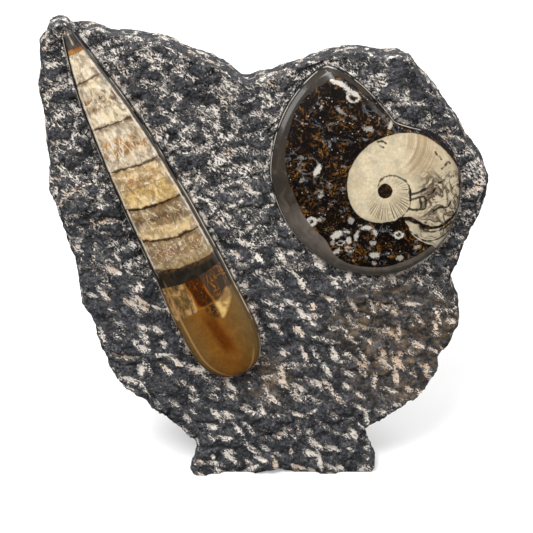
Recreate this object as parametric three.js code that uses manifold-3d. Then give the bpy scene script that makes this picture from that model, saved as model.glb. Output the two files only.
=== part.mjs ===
// A straight orthoceras and a coiled goniatite, polished and standing proud of a slab of black
// limestone that is chiselled all over, leans back a little and stands on a foot cut flat.
// Millimetres, +Z up, the front towards -Y, the origin on the ground under the middle of the slab.

import * as THREE from "three";
import { ImprovedNoise } from "three/addons/math/ImprovedNoise.js";
import { mergeVertices } from "three/addons/utils/BufferGeometryUtils.js";
import Module from "manifold-3d";

const wasm = await Module();
wasm.setup();

// Driving dimensions of the slab. On its face, u runs to the right, v up the slope from the ground
// and w out of the stone, with w = 0 at the middle of the chiselled relief. Layers of the outline are
// [w, share that the outline is drawn in], from behind the slab to in front of it.
const LEAN = THREE.MathUtils.degToRad(14);
const FOOT_DEPTH = 47;
const BACK_LEAN = 0.03;
const SLAB_MIDDLE = new THREE.Vector2(0, 75);
const BLOCK = { width: 170, height: 190, depth: 190 };
const SLAB_LAYERS = [
  [-96, 0.2], [-52, 0.1], [-42, 0.075], [-33, 0.05], [-25, 0.03], [-18, 0.014], [-12, 0.004],
  [-7, 0], [-4, 0.004], [-1.6, 0.011], [0.4, 0.024], [3.4, 0.058],
];
const WIDEST_DEPTH = 7;
const SOLE_HEIGHT = 3;
const LEVEL_HEIGHTS = { foot: 14, body: 62 };
const FOOT_MIDDLE = 6;
const FOOT_TAPER = 0.0045;
const OUTLINE_STEP = 3.9;
const OUTLINE_CHIP = { size: 6, height: 0.8, growth: 0.07 };
const FACE_CELL = 3.7;
const FACE_LUMP = { size: 14, height: 1.9 };
const FACE_GOUGE = { length: 17, width: 7.5, angle: THREE.MathUtils.degToRad(-32), height: 2.1 };
const BACK_CELL = 7;
const BACK_LUMP = { size: 21, height: 3.6 };

// The slab's outline, clockwise from the nub at the top left, points [u, v].
const SLAB_OUTLINE = [
  [-65.8, 148], [-62.4, 148.8], [-61.2, 146.2], [-55, 146.4], [-46.2, 144.2], [-39.4, 143.4],
  [-31.8, 142.8], [-24.4, 139.2], [-16.6, 135.6], [-9.4, 132], [-7, 129.2], [-4, 129.6], [8.2, 134],
  [16.4, 136.6], [21.6, 138.2], [28.2, 139.4], [35, 138.2], [42.4, 137.8], [45.6, 136.4],
  [48.4, 132.2], [52.4, 128.2], [56.8, 121.6], [61.6, 115.4], [63.2, 111], [67.6, 107.2],
  [68.2, 103.6], [70.6, 99.8], [69.2, 92.8], [68.2, 85.8], [64, 79.2], [61.6, 71.6], [59.4, 68.2],
  [60.2, 63.8], [62.4, 57.4], [62.4, 50.6], [60.4, 45.6], [57.8, 42.4], [56.4, 36.4], [54.4, 30.2],
  [50.4, 26.4], [44.8, 23], [37.6, 18.4], [32.8, 14.6], [30.2, 10.4], [32.8, 6.2], [37, 5.2],
  [35.8, -1.2], [29, -2.6], [18.6, -2.4], [12.2, -1.8], [6.6, 1.4], [0, 1.2], [-5.2, -1.6],
  [-12, -2.4], [-19.2, -1.2], [-24.2, -1.2], [-24.8, 2], [-23, 7], [-21.6, 10.2], [-25.2, 11.8],
  [-26.4, 15.2], [-32.4, 19.2], [-41, 26.8], [-46.8, 29.8], [-48.4, 32.4], [-51.8, 41.4],
  [-54.6, 46.8], [-55, 52.6], [-58, 57], [-59.8, 65], [-59.8, 71.2], [-62, 77.2], [-64.2, 84.2],
  [-65.8, 90.6], [-68, 97.4], [-67.2, 104.2], [-68.4, 110.6], [-68, 117.4], [-69, 122], [-70, 128.4],
  [-68.6, 134], [-69.4, 140.4], [-68.8, 143.8], [-65, 145.2],
];

// Driving dimensions of the orthoceras: a cone that opens along its axis from a blunt tip to a round
// end. Stations are [distance along the axis, half width, drift to the right of the axis].
const ORTHOCERAS_TIP = new THREE.Vector2(-59.4, 145.2);
const ORTHOCERAS_SLANT = THREE.MathUtils.degToRad(24.9);
const ORTHOCERAS_STATIONS = [
  [0.4, 0, -0.3], [0.4, 2.3, -0.3], [5, 3.3, -0.4], [10, 4.4, -0.5], [16, 5.6, -0.45], [22, 6.7, -0.3],
  [32, 8, 0.05], [42, 9.1, 0.3], [52, 9.8, 0.5], [62, 10.45, 0.75], [72, 10.8, 0.9], [82, 11.2, 0.95],
  [92, 11.6, 0.7], [102, 11.7, 0.8], [109, 11.4, 0.9], [113.2, 10.6, 1], [116.5, 9.1, 1.1],
  [119.2, 6.9, 1.2], [120.8, 4, 1.2], [121.4, 0, 1.2],
];
const ORTHOCERAS_SIDES = 26;
const ORTHOCERAS_SQUARENESS = 0.62;
const ORTHOCERAS_CROWN = { least: 1.4, share: 0.36 };
const ORTHOCERAS_BURIED = { least: 1.2, share: 0.34 };
const ORTHOCERAS_SEAT = 0.6;

// Driving dimensions of the goniatite: its outline from the tip of its mouth, counter-clockwise,
// and the section of its rim and crown as [share of the outline, height].
const GONIATITE_MIDDLE = new THREE.Vector2(49, 91);
const GONIATITE_OUTLINE = [
  [17.6, 134.4], [11.8, 129.4], [6.8, 122.2], [3.3, 113.5], [1.7, 104], [2.2, 97], [4.3, 90.2],
  [8, 83.1], [13.1, 77.3], [20.1, 71.7], [26.9, 69.1], [34.7, 67.8], [42.5, 69.1], [48.8, 72.3],
  [54.4, 76.8], [58.6, 83.3], [61, 91.4], [61.2, 99.6], [59.6, 106], [56.2, 111], [50.8, 114.4],
  [44.6, 116.2], [40.7, 117.6], [38.4, 120.2], [34.9, 124.4], [30.5, 128.8], [25.6, 132.4],
  [21.2, 134.4],
];
const GONIATITE_SECTION = [
  [0, -6], [0.975, -6], [1, -5.2], [1, 0.7], [0.985, 1.7], [0.96, 2.7], [0.905, 4], [0.87, 4.5],
  [0.78, 5.1], [0.58, 5.7], [0.3, 6.2], [0, 6.4],
];
const GONIATITE_SIDES = 76;

// Every fossil sits in its pocket with this much room around it.
const POCKET_GAP = 0.3;
const POCKET_HEAD = 12;

// Each kind of roughness reads the noise on a plane of its own.
const NOISE_PLANE = { lumps: 0.37, gouges: 5.21, chipU: 11.3, chipV: 47.9, back: 3.6 };
const noise = new ImprovedNoise();

/** Moves every vertex of a geometry in place by a function of where it stands. */
function reshape(geometry, move) {
  const position = geometry.getAttribute("position");
  const point = new THREE.Vector3();
  for (let i = 0; i < position.count; i++) {
    point.fromBufferAttribute(position, i);
    move(point, i);
    position.setXYZ(i, point.x, point.y, point.z);
  }
  return geometry;
}

/** A closed three.js geometry as a solid that can be joined and cut. */
function solidFrom(geometry) {
  const bare = geometry.clone();
  bare.deleteAttribute("normal");
  bare.deleteAttribute("uv");
  const merged = mergeVertices(bare);
  const mesh = new wasm.Mesh({
    numProp: 3,
    vertProperties: merged.getAttribute("position").array,
    triVerts: new Uint32Array(merged.index.array),
  });
  return new wasm.Manifold(mesh);
}

/** A solid's surface as a three.js geometry. */
function geometryFrom(solid) {
  const mesh = solid.getMesh();
  const geometry = new THREE.BufferGeometry();
  geometry.setAttribute("position", new THREE.BufferAttribute(mesh.vertProperties, 3));
  geometry.setIndex(new THREE.BufferAttribute(mesh.triVerts, 1));
  geometry.computeVertexNormals();
  return geometry;
}

/** Evenly spaced points along a smooth closed outline, as many as asked for. */
function evenOutline(points, count) {
  const knots = points.map(([u, v]) => new THREE.Vector3(u, v, 0));
  const curve = new THREE.CatmullRomCurve3(knots, true, "centripetal");
  curve.arcLengthDivisions = 8 * count;
  return curve.getSpacedPoints(count).slice(0, count).map((p) => new THREE.Vector2(p.x, p.y));
}

/** The matrix that stands face coordinates up in the part's frame, the foot's front edge at y = 0. */
function faceMatrix() {
  return new THREE.Matrix4().makeRotationX(Math.PI / 2 - LEAN);
}

/** Height of the chiselled relief at a place on the face: round lumps crossed by slanting gouges. */
function chiselRelief(u, v) {
  const lumps = noise.noise(u / FACE_LUMP.size, v / FACE_LUMP.size, NOISE_PLANE.lumps);
  const along = u * Math.cos(FACE_GOUGE.angle) + v * Math.sin(FACE_GOUGE.angle);
  const across = v * Math.cos(FACE_GOUGE.angle) - u * Math.sin(FACE_GOUGE.angle);
  const gouges = noise.noise(along / FACE_GOUGE.length, across / FACE_GOUGE.width, NOISE_PLANE.gouges);
  return FACE_LUMP.height * lumps + FACE_GOUGE.height * gouges;
}

/** The slab's outline pulled straight back through the stone, its edges worn round and chipped. */
function outlineBlock() {
  const coarse = new THREE.Shape(SLAB_OUTLINE.map(([u, v]) => new THREE.Vector2(u, v)));
  const count = Math.round(coarse.getLength() / OUTLINE_STEP);
  const outline = new THREE.Shape(evenOutline(SLAB_OUTLINE, count));
  const layers = SLAB_LAYERS.length - 1;
  const block = new THREE.ExtrudeGeometry(outline, { depth: layers, steps: layers, bevelEnabled: false });
  return reshape(block, (p) => {
    const [depth, inset] = SLAB_LAYERS[Math.round(p.z)];
    const { size, height, growth } = OUTLINE_CHIP;
    const chip = height * (1 + growth * Math.max(0, -depth - WIDEST_DEPTH));
    const chipU = chip * noise.noise(p.x / size, p.y / size, depth / size + NOISE_PLANE.chipU);
    const chipV = chip * noise.noise(p.x / size, p.y / size, depth / size + NOISE_PLANE.chipV);
    const raised = Math.max(0, p.y - SLAB_MIDDLE.y);
    const level = 1 - THREE.MathUtils.smoothstep(p.y, LEVEL_HEIGHTS.foot, LEVEL_HEIGHTS.body);
    const rise = p.y > SOLE_HEIGHT ? -depth * Math.tan(LEAN) * level : 0;
    const narrowed = 1 - inset - FOOT_TAPER * level * Math.max(0, -depth);
    const middle = FOOT_MIDDLE * level;
    p.x = middle + (p.x - middle) * narrowed + chipU;
    p.y = p.y - raised * inset + rise + chipV;
    p.z = depth;
  });
}

/** A block whose front is the chiselled relief and whose other sides lie outside the slab. */
function chiselledBlock() {
  const { width, height, depth } = BLOCK;
  const cellsU = Math.round(width / FACE_CELL);
  const cellsV = Math.round(height / FACE_CELL);
  const block = new THREE.BoxGeometry(width, height, depth, cellsU, cellsV, 1);
  block.translate(SLAB_MIDDLE.x, SLAB_MIDDLE.y, -depth / 2);
  return reshape(block, (p) => {
    if (p.z === 0) p.z = chiselRelief(p.x, p.y);
  });
}

/** A block that stands on the ground, with the slab's rough back and a flat underside. */
function backBlock() {
  const { width, height, depth } = BLOCK;
  const cellsX = Math.round(width / BACK_CELL);
  const cellsZ = Math.round(height / BACK_CELL);
  const block = new THREE.BoxGeometry(width, depth, height, cellsX, 1, cellsZ);
  block.translate(0, FOOT_DEPTH - depth / 2, height / 2);
  return reshape(block, (p) => {
    if (p.y !== FOOT_DEPTH) return;
    const lump = noise.noise(p.x / BACK_LUMP.size, p.z / BACK_LUMP.size, NOISE_PLANE.back);
    p.y += BACK_LEAN * p.z + BACK_LUMP.height * lump;
  });
}

/** The orthoceras, or its pocket where the gap is more than nothing, on the face. */
function orthocerasGeometry(gap) {
  const stations = [...ORTHOCERAS_STATIONS].reverse();
  const last = stations.length - 1;
  const profile = stations.map(([along, half], i) => {
    const end = i === 0 ? gap : i > last - 2 ? -gap : 0;
    return new THREE.Vector2(half > 0 ? half + gap : 0, -along - end);
  });
  const squared = (share) => Math.sign(share) * Math.abs(share) ** ORTHOCERAS_SQUARENESS;
  const body = new THREE.LatheGeometry(profile, ORTHOCERAS_SIDES);
  reshape(body, (p, i) => {
    const [, half, drift] = stations[i % stations.length];
    const { least, share } = p.z > 0 ? ORTHOCERAS_CROWN : ORTHOCERAS_BURIED;
    const reach = half > 0 ? least + share * half + gap : 0;
    const round = Math.hypot(p.x, p.z) || 1;
    p.z = ORTHOCERAS_SEAT + reach * squared(p.z / round);
    p.x = round * squared(p.x / round) + drift;
  });
  body.rotateZ(ORTHOCERAS_SLANT);
  return body.translate(ORTHOCERAS_TIP.x, ORTHOCERAS_TIP.y, 0);
}

/** The goniatite on the face: its section carried round its outline. */
function goniatiteGeometry() {
  const outline = evenOutline(GONIATITE_OUTLINE, GONIATITE_SIDES);
  const profile = GONIATITE_SECTION.map(([share, height]) => new THREE.Vector2(share, height));
  const body = new THREE.LatheGeometry(profile, GONIATITE_SIDES);
  return reshape(body, (p, i) => {
    const share = profile[i % profile.length].x;
    const rim = outline[Math.floor(i / profile.length) % GONIATITE_SIDES];
    const place = GONIATITE_MIDDLE.clone().lerp(rim, share);
    p.set(place.x, place.y, p.y);
  });
}

/** The goniatite's pocket: its outline with a gap all round, from under it to clear of the face. */
function goniatitePocket() {
  const depth = Math.max(...GONIATITE_SECTION.map(([, height]) => -height)) + POCKET_GAP;
  const outline = new THREE.Shape(evenOutline(GONIATITE_OUTLINE, GONIATITE_SIDES));
  const pocket = new THREE.ExtrudeGeometry(outline, {
    depth: depth + POCKET_HEAD,
    bevelThickness: POCKET_GAP / 10,
    bevelSize: POCKET_GAP,
    bevelSegments: 1,
  });
  return pocket.translate(0, 0, -depth);
}

/** The limestone slab in the part's frame, with a pocket for each fossil. */
function slabGeometry() {
  const onFace = (geometry) => solidFrom(geometry.applyMatrix4(faceMatrix()));
  const chiselled = onFace(outlineBlock()).intersect(onFace(chiselledBlock()));
  const stone = chiselled.intersect(solidFrom(backBlock()));
  const longPocket = onFace(orthocerasGeometry(POCKET_GAP));
  const coiledPocket = onFace(goniatitePocket());
  return geometryFrom(stone.subtract(longPocket).subtract(coiledPocket));
}

/** A named mesh with its own plain finish. */
function piece(name, geometry, color, roughness) {
  const material = new THREE.MeshStandardMaterial({ color, roughness, metalness: 0 });
  const mesh = new THREE.Mesh(geometry, material);
  mesh.name = name;
  return mesh;
}

const slab = piece("slab", slabGeometry(), 0x4a4a4c, 0.9);
const orthoceras = piece("orthoceras", orthocerasGeometry(0), 0xb79b6c, 0.22);
const goniatite = piece("goniatite", goniatiteGeometry(), 0x8d8068, 0.22);

const face = new THREE.Group();
face.applyMatrix4(faceMatrix());
face.add(orthoceras, goniatite);

const standing = new THREE.Group();
standing.add(slab, face);
const middle = new THREE.Box3().setFromObject(standing).getCenter(new THREE.Vector3());
standing.position.set(-middle.x, -middle.y, 0);

const fossilSlab = new THREE.Group();
fossilSlab.add(standing);

export default fossilSlab;
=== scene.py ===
"""Dresses a standing slab of chiselled black limestone and the two polished fossils set in it.

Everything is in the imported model's frame, in metres: +Z up, the chiselled face towards -Y. That face
leans back and has coordinates of its own, in millimetres: u to the right, v up the slope from the
ground and w out of the stone. The markings of the fossils are drawn on it as outlines and lines.
"""

from __future__ import annotations

import logging
import math
import random
from dataclasses import dataclass
from enum import Enum

import bmesh
import bpy
import numpy as np
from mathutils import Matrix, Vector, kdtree, noise


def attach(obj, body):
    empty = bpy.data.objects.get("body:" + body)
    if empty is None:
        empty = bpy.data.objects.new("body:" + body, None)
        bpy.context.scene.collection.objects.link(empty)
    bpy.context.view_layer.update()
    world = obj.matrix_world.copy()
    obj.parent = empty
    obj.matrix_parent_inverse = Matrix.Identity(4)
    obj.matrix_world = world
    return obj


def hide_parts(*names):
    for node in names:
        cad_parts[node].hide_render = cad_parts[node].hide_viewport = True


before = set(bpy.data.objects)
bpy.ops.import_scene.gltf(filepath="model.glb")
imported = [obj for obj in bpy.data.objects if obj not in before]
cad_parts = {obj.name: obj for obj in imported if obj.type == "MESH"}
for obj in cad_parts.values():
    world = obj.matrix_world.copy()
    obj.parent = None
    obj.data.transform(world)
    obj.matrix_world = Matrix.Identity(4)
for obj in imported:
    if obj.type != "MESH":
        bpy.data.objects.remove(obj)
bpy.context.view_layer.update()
MM = 0.001
LINE_STEP = 0.12
log = logging.getLogger("fossil_slab")

Colour = tuple[float, float, float, float]
Knots = tuple[tuple[float, ...], ...]
Value = float | bpy.types.NodeSocket


class Slot(Enum):
    """The material slots that the pieces take their finish from."""

    LIMESTONE = "limestone"
    ORTHOCERAS = "orthoceras_calcite"
    GONIATITE = "goniatite_calcite"


class Mark(Enum):
    """What a mesh keeps for each vertex, so that its finish can follow the shape."""

    PLAN = "plan"
    BRUISE = "bruise"
    PAINTED_HOLLOW_SHADE = "hollow"
    STAIN = "stain"


# The leaning face


@dataclass(frozen=True)
class LeaningFace:
    """Where the slab's face stands in the part's frame."""

    lean: float = math.radians(14)
    foot: tuple[float, float, float] = (-0.151, -25.458, 0.0)

    @property
    def axes(self) -> np.ndarray:
        """The directions of u, v and w in the part's frame, one to a row."""
        rise, run = math.cos(self.lean), math.sin(self.lean)
        return np.array([(1.0, 0.0, 0.0), (0.0, run, rise), (0.0, -rise, run)])

    def to_face(self, points: np.ndarray) -> np.ndarray:
        """Points of the part's frame, in metres, as u, v and w."""
        return (points / MM - np.array(self.foot)) @ self.axes.T

    def to_part(self, points: np.ndarray) -> np.ndarray:
        """Points given by u, v and w as points of the part's frame, in metres."""
        return (points @ self.axes + np.array(self.foot)) * MM


FACE = LeaningFace()


# Lines and outlines


def smooth_line(knots: Knots | np.ndarray, closed: bool = False, steps: int = 5) -> np.ndarray:
    """Draws a smooth line through a few knots.

    Args:
        knots: The points that the line passes through.
        closed: Whether the last knot joins the first.
        steps: How many points each span gets.

    Returns:
        The points of the line in order; a closed line doesn't repeat its first point.
    """
    knots = np.asarray(knots, float)
    before, after = (knots[-1:], knots[:2]) if closed else (knots[:1], knots[-1:])
    spread = np.vstack([before, knots, after])
    share = np.linspace(0, 1, steps, endpoint=False)[:, None]
    spans = []
    for a, b, c, d in zip(spread, spread[1:], spread[2:], spread[3:]):
        square = (2 * a - 5 * b + 4 * c - d) * share**2
        cube = (3 * b - a - 3 * c + d) * share**3
        spans.append(b + 0.5 * ((c - a) * share + square + cube))
    line = np.vstack(spans)
    return line if closed else np.vstack([line, knots[-1:]])


def line_distance(points: np.ndarray, line: np.ndarray) -> np.ndarray:
    """Measures how far points lie from an open line.

    Args:
        points: The points, two numbers each.
        line: The points of the line in order.

    Returns:
        One distance for each point.
    """
    travel = np.concatenate([[0], np.cumsum(np.linalg.norm(np.diff(line, axis=0), axis=1))])
    steps = np.linspace(0, travel[-1], max(2, round(travel[-1] / LINE_STEP)))
    tree = kdtree.KDTree(len(steps))
    for i, step in enumerate(steps):
        tree.insert((np.interp(step, travel, line[:, 0]), np.interp(step, travel, line[:, 1]), 0), i)
    tree.balance()
    return np.array([tree.find((across, up, 0))[2] for across, up in points.tolist()])


def outline_depth(points: np.ndarray, outline: np.ndarray) -> np.ndarray:
    """Measures how deep points lie inside a closed outline.

    Args:
        points: The points, two numbers each.
        outline: The points of the outline in order.

    Returns:
        One depth for each point, below zero outside the outline.
    """
    ring = np.vstack([outline, outline[:1]])
    across, up = points[:, 0], points[:, 1]
    inside = np.zeros(len(points), bool)
    for (start_u, start_v), (end_u, end_v) in zip(ring, ring[1:]):
        passes = (start_v > up) != (end_v > up)
        cut = start_u + (up - start_v) * (end_u - start_u) / ((end_v - start_v) or 1e-12)
        inside ^= passes & (across < cut)
    distance = line_distance(points, ring)
    return np.where(inside, distance, -distance)


def soft_step(values: np.ndarray, low: float, high: float) -> np.ndarray:
    """Rises smoothly from 0 at the low value to 1 at the high one."""
    share = np.clip((values - low) / (high - low), 0, 1)
    return share * share * (3 - 2 * share)


def grain(points: np.ndarray, size: float, octaves: int = 3, seed: float = 0.0) -> np.ndarray:
    """Reads fractal noise at each point.

    Args:
        points: The points in millimetres, three numbers each.
        size: The size of the largest lumps, in millimetres.
        octaves: How many finer layers of noise there are.
        seed: A shift that gives another part of the noise.

    Returns:
        One value for each point, about -1 to 1.
    """
    return np.array([noise.fractal(p, 0.9, 2.1, octaves) for p in (points / size + seed).tolist()])


# Meshes


def read_vertices(mesh: bpy.types.Mesh, wanted: str = "co") -> np.ndarray:
    """A mesh's vertex places, or normals, three numbers to a row.

    Args:
        mesh: The mesh.
        wanted: Which of a vertex's vectors to read.

    Returns:
        An array of three columns, a row to each vertex.
    """
    flat = np.empty(3 * len(mesh.vertices), np.float32)
    mesh.vertices.foreach_get(wanted, flat)
    return flat.reshape(-1, 3).astype(float)


def write_vertices(mesh: bpy.types.Mesh, places: np.ndarray) -> None:
    """Moves a mesh's vertices to new places."""
    mesh.vertices.foreach_set("co", places.astype(np.float32).ravel())
    mesh.update()


def write_mark(mesh: bpy.types.Mesh, name: str, values: np.ndarray) -> None:
    """Keeps one number, or three, for each vertex of a mesh, for its finish to read.

    Args:
        mesh: The mesh.
        name: What the numbers are called.
        values: The numbers, a row or a value to each vertex.
    """
    several = values.ndim > 1
    layer = mesh.attributes.new(name, "FLOAT_VECTOR" if several else "FLOAT", "POINT")
    layer.data.foreach_set("vector" if several else "value", values.astype(np.float32).ravel())


def spun_shell(name: str, profile: np.ndarray, sides: int) -> bpy.types.Mesh:
    """Spins a profile round the Z axis into a closed shell.

    Args:
        name: The name of the new mesh.
        profile: Pairs of radius and height, from one pole to the other.
        sides: How many steps the turn has.

    Returns:
        The shell, with its poles closed and its faces outwards.
    """
    work = bmesh.new()
    chain = [work.verts.new((radius, 0.0, height)) for radius, height in profile]
    edges = [work.edges.new(pair) for pair in zip(chain, chain[1:])]
    bmesh.ops.spin(
        work,
        geom=chain + edges,
        cent=(0, 0, 0),
        axis=(0, 0, 1),
        dvec=(0, 0, 0),
        angle=math.tau,
        steps=sides,
        use_merge=True,
    )
    bmesh.ops.remove_doubles(work, verts=work.verts, dist=1e-5)
    bmesh.ops.recalc_face_normals(work, faces=work.faces)
    mesh = bpy.data.meshes.new(name)
    work.to_mesh(mesh)
    work.free()
    return mesh


def turn_outwards(mesh: bpy.types.Mesh) -> None:
    """Makes the faces of a reshaped shell point outwards.

    Args:
        mesh: The closed mesh.
    """
    work = bmesh.new()
    work.from_mesh(mesh)
    bmesh.ops.recalc_face_normals(work, faces=work.faces)
    work.to_mesh(mesh)
    work.free()


def place_piece(
    name: str, mesh: bpy.types.Mesh, node: str, material: bpy.types.Material
) -> bpy.types.Object:
    """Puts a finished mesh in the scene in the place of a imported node.

    Args:
        name: The name of the piece.
        mesh: The finished mesh, in the part's frame.
        node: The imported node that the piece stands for.
        material: The finish.

    Returns:
        The piece.
    """
    mesh.name = name
    mesh.materials.clear()
    mesh.materials.append(material)
    mesh.polygons.foreach_set("use_smooth", [True] * len(mesh.polygons))
    piece = bpy.data.objects.new(name, mesh)
    bpy.context.scene.collection.objects.link(piece)
    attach(piece, "root")
    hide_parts(node)
    return piece


# Finishes


def paint(code: str) -> Colour:
    """A colour of six hex digits as the linear values that a socket takes.

    Args:
        code: The hash sign and six digits.

    Returns:
        The colour, with an alpha of 1.
    """
    shades = [int(code[i : i + 2], 16) / 255 for i in (1, 3, 5)]
    linear = [s / 12.92 if s <= 0.04045 else ((s + 0.055) / 1.055) ** 2.4 for s in shades]
    return (*linear, 1.0)


class Bench:
    """Adds and joins the nodes of one material."""

    def __init__(self, name: str) -> None:
        """Starts a material with a plain shader.

        Args:
            name: The material's name.
        """
        self.material = bpy.data.materials.new(name)
        self.material.use_nodes = True
        self.nodes = self.material.node_tree.nodes
        self.links = self.material.node_tree.links
        self.shader = self.nodes["Principled BSDF"]

    def put(self, socket: bpy.types.NodeSocket, value: object) -> None:
        """Joins a socket to another, or sets it to a plain value.

        Args:
            socket: The socket to feed.
            value: An output socket or a plain value.
        """
        if isinstance(value, bpy.types.NodeSocket):
            self.links.new(value, socket)
        else:
            socket.default_value = value

    def place(self) -> bpy.types.NodeSocket:
        """Object coordinates in millimetres."""
        where = self.nodes.new("ShaderNodeTexCoord")
        return self.stretch(where.outputs["Object"], (1 / MM, 1 / MM, 1 / MM))

    def stretch(self, vector: bpy.types.NodeSocket, by: tuple[float, ...]) -> bpy.types.NodeSocket:
        """A vector with each of its parts multiplied.

        Args:
            vector: The vector.
            by: The factor of each part.

        Returns:
            The new vector.
        """
        node = self.nodes.new("ShaderNodeVectorMath")
        node.operation = "MULTIPLY"
        self.put(node.inputs[0], vector)
        node.inputs[1].default_value = by
        return node.outputs[0]

    def mark(self, name: str) -> bpy.types.NodeSocket:
        """A number that the mesh keeps for each vertex.

        Args:
            name: What the number is called.

        Returns:
            The number.
        """
        node = self.nodes.new("ShaderNodeAttribute")
        node.attribute_name = name
        return node.outputs["Fac"]

    def plan(self) -> bpy.types.NodeSocket:
        """The place on the drawing that the mesh keeps for each vertex.

        Returns:
            The place, a vector.
        """
        node = self.nodes.new("ShaderNodeAttribute")
        node.attribute_name = Mark.PLAN.value
        return node.outputs["Vector"]

    def parts(self, vector: bpy.types.NodeSocket) -> tuple[bpy.types.NodeSocket, ...]:
        """The three parts of a vector.

        Args:
            vector: The vector.

        Returns:
            The three numbers.
        """
        node = self.nodes.new("ShaderNodeSeparateXYZ")
        self.put(node.inputs[0], vector)
        return tuple(node.outputs)

    def joined(self, first: Value, second: Value, third: Value = 0.0) -> bpy.types.NodeSocket:
        """A vector of three numbers.

        Args:
            first: The first number.
            second: The second number.
            third: The third number.

        Returns:
            The vector.
        """
        node = self.nodes.new("ShaderNodeCombineXYZ")
        for socket, value in zip(node.inputs, (first, second, third)):
            self.put(socket, value)
        return node.outputs[0]

    def math(self, kind: str, first: Value, second: Value = 0.0) -> bpy.types.NodeSocket:
        """One sum on two numbers.

        Args:
            kind: Blender's name for the sum.
            first: The first number.
            second: The second number.

        Returns:
            The result.
        """
        node = self.nodes.new("ShaderNodeMath")
        node.operation = kind
        self.put(node.inputs[0], first)
        self.put(node.inputs[1], second)
        return node.outputs[0]

    def times(self, first: Value, second: Value) -> bpy.types.NodeSocket:
        """Two numbers multiplied."""
        return self.math("MULTIPLY", first, second)

    def plus(self, first: Value, second: Value) -> bpy.types.NodeSocket:
        """Two numbers added."""
        return self.math("ADD", first, second)

    def step(
        self, value: Value, low: float, high: float, start: float = 0.0, end: float = 1.0
    ) -> bpy.types.NodeSocket:
        """Goes smoothly from a start at the low value to an end at the high one.

        Args:
            value: The number that is judged.
            low: Where the change begins.
            high: Where it ends.
            start: The result up to the low value.
            end: The result from the high value on.

        Returns:
            The result.
        """
        node = self.nodes.new("ShaderNodeMapRange")
        node.interpolation_type = "SMOOTHSTEP"
        for socket, number in zip(node.inputs, (value, low, high, start, end)):
            self.put(socket, number)
        return node.outputs[0]

    def band(self, value: Value, middle: float, half: float, edge: float) -> bpy.types.NodeSocket:
        """1 near a middle value, and 0 further than half its width and its soft edge."""
        away = self.math("ABSOLUTE", self.math("SUBTRACT", value, middle))
        return self.step(away, max(half - edge, 0.0), half + edge, 1.0, 0.0)

    def noise(
        self,
        vector: bpy.types.NodeSocket,
        size: float,
        detail: float = 3.0,
        roughness: float = 0.55,
        twist: float = 0.0,
    ) -> bpy.types.NodeSocket:
        """Noise from 0 to 1 with lumps of a size in millimetres.

        Args:
            vector: The place.
            size: The size of the largest lumps.
            detail: How many finer layers there are.
            roughness: How strong the finer layers are.
            twist: How far the lumps are pulled out of shape.

        Returns:
            The noise.
        """
        node = self.nodes.new("ShaderNodeTexNoise")
        self.put(node.inputs["Vector"], vector)
        node.inputs["Scale"].default_value = 1 / size
        node.inputs["Detail"].default_value = detail
        node.inputs["Roughness"].default_value = roughness
        node.inputs["Distortion"].default_value = twist
        return node.outputs[0]

    def worms(
        self, vector: bpy.types.NodeSocket, size: float, width: float, twist: float = 1.0
    ) -> bpy.types.NodeSocket:
        """Thin curling threads, where noise passes through its middle value."""
        return self.band(self.noise(vector, size, 2.0, 0.5, twist), 0.5, width, width)

    def turned(
        self, vector: bpy.types.NodeSocket, degrees: float, by: tuple[float, float, float]
    ) -> bpy.types.NodeSocket:
        """A drawing turned in its plane, with each of its parts then multiplied.

        Args:
            vector: The place on the drawing.
            degrees: How far it is turned.
            by: The factor of each part.

        Returns:
            The turned place.
        """
        node = self.nodes.new("ShaderNodeMapping")
        node.vector_type = "POINT"
        self.put(node.inputs["Vector"], vector)
        node.inputs["Rotation"].default_value = (0.0, 0.0, math.radians(degrees))
        return self.stretch(node.outputs[0], by)

    def dots(
        self, vector: bpy.types.NodeSocket, size: float, radius: float, rarity: float
    ) -> bpy.types.NodeSocket:
        """Scattered round dots, in some cells of a size in millimetres.

        Args:
            vector: The place.
            size: The size of the cells.
            radius: The size of a dot, as a share of a cell.
            rarity: The share of the cells that have no dot.

        Returns:
            1 on the dots and 0 between them.
        """
        node = self.nodes.new("ShaderNodeTexVoronoi")
        self.put(node.inputs["Vector"], vector)
        node.inputs["Scale"].default_value = 1 / size
        dot = self.step(node.outputs["Distance"], radius * 0.6, radius, 1.0, 0.0)
        chosen = self.step(self.parts(node.outputs["Color"])[0], rarity, rarity + 0.02)
        return self.times(dot, chosen)

    def curls(
        self, vector: bpy.types.NodeSocket, size: float, pitch: float, bent: float
    ) -> bpy.types.NodeSocket:
        """Nested curved lines, round the middle of each cell of a size in millimetres.

        Args:
            vector: The place on the drawing.
            size: The size of the cells.
            pitch: How far apart the lines are, as a share of a cell.
            bent: How far the lines are bent out of round, in millimetres.

        Returns:
            1 on the lines and 0 between them.
        """
        bend = self.nodes.new("ShaderNodeTexNoise")
        self.put(bend.inputs["Vector"], vector)
        bend.inputs["Scale"].default_value = 1 / size
        moved = self.nodes.new("ShaderNodeVectorMath")
        moved.operation = "ADD"
        self.put(moved.inputs[0], vector)
        self.put(moved.inputs[1], self.stretch(bend.outputs["Color"], (bent, bent, 0.0)))
        cell = self.nodes.new("ShaderNodeTexVoronoi")
        self.put(cell.inputs["Vector"], moved.outputs[0])
        cell.inputs["Scale"].default_value = 1 / size
        lines = self.math("FRACT", self.times(cell.outputs["Distance"], 1 / pitch))
        return self.band(lines, 0.5, 0.14, 0.12)

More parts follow.
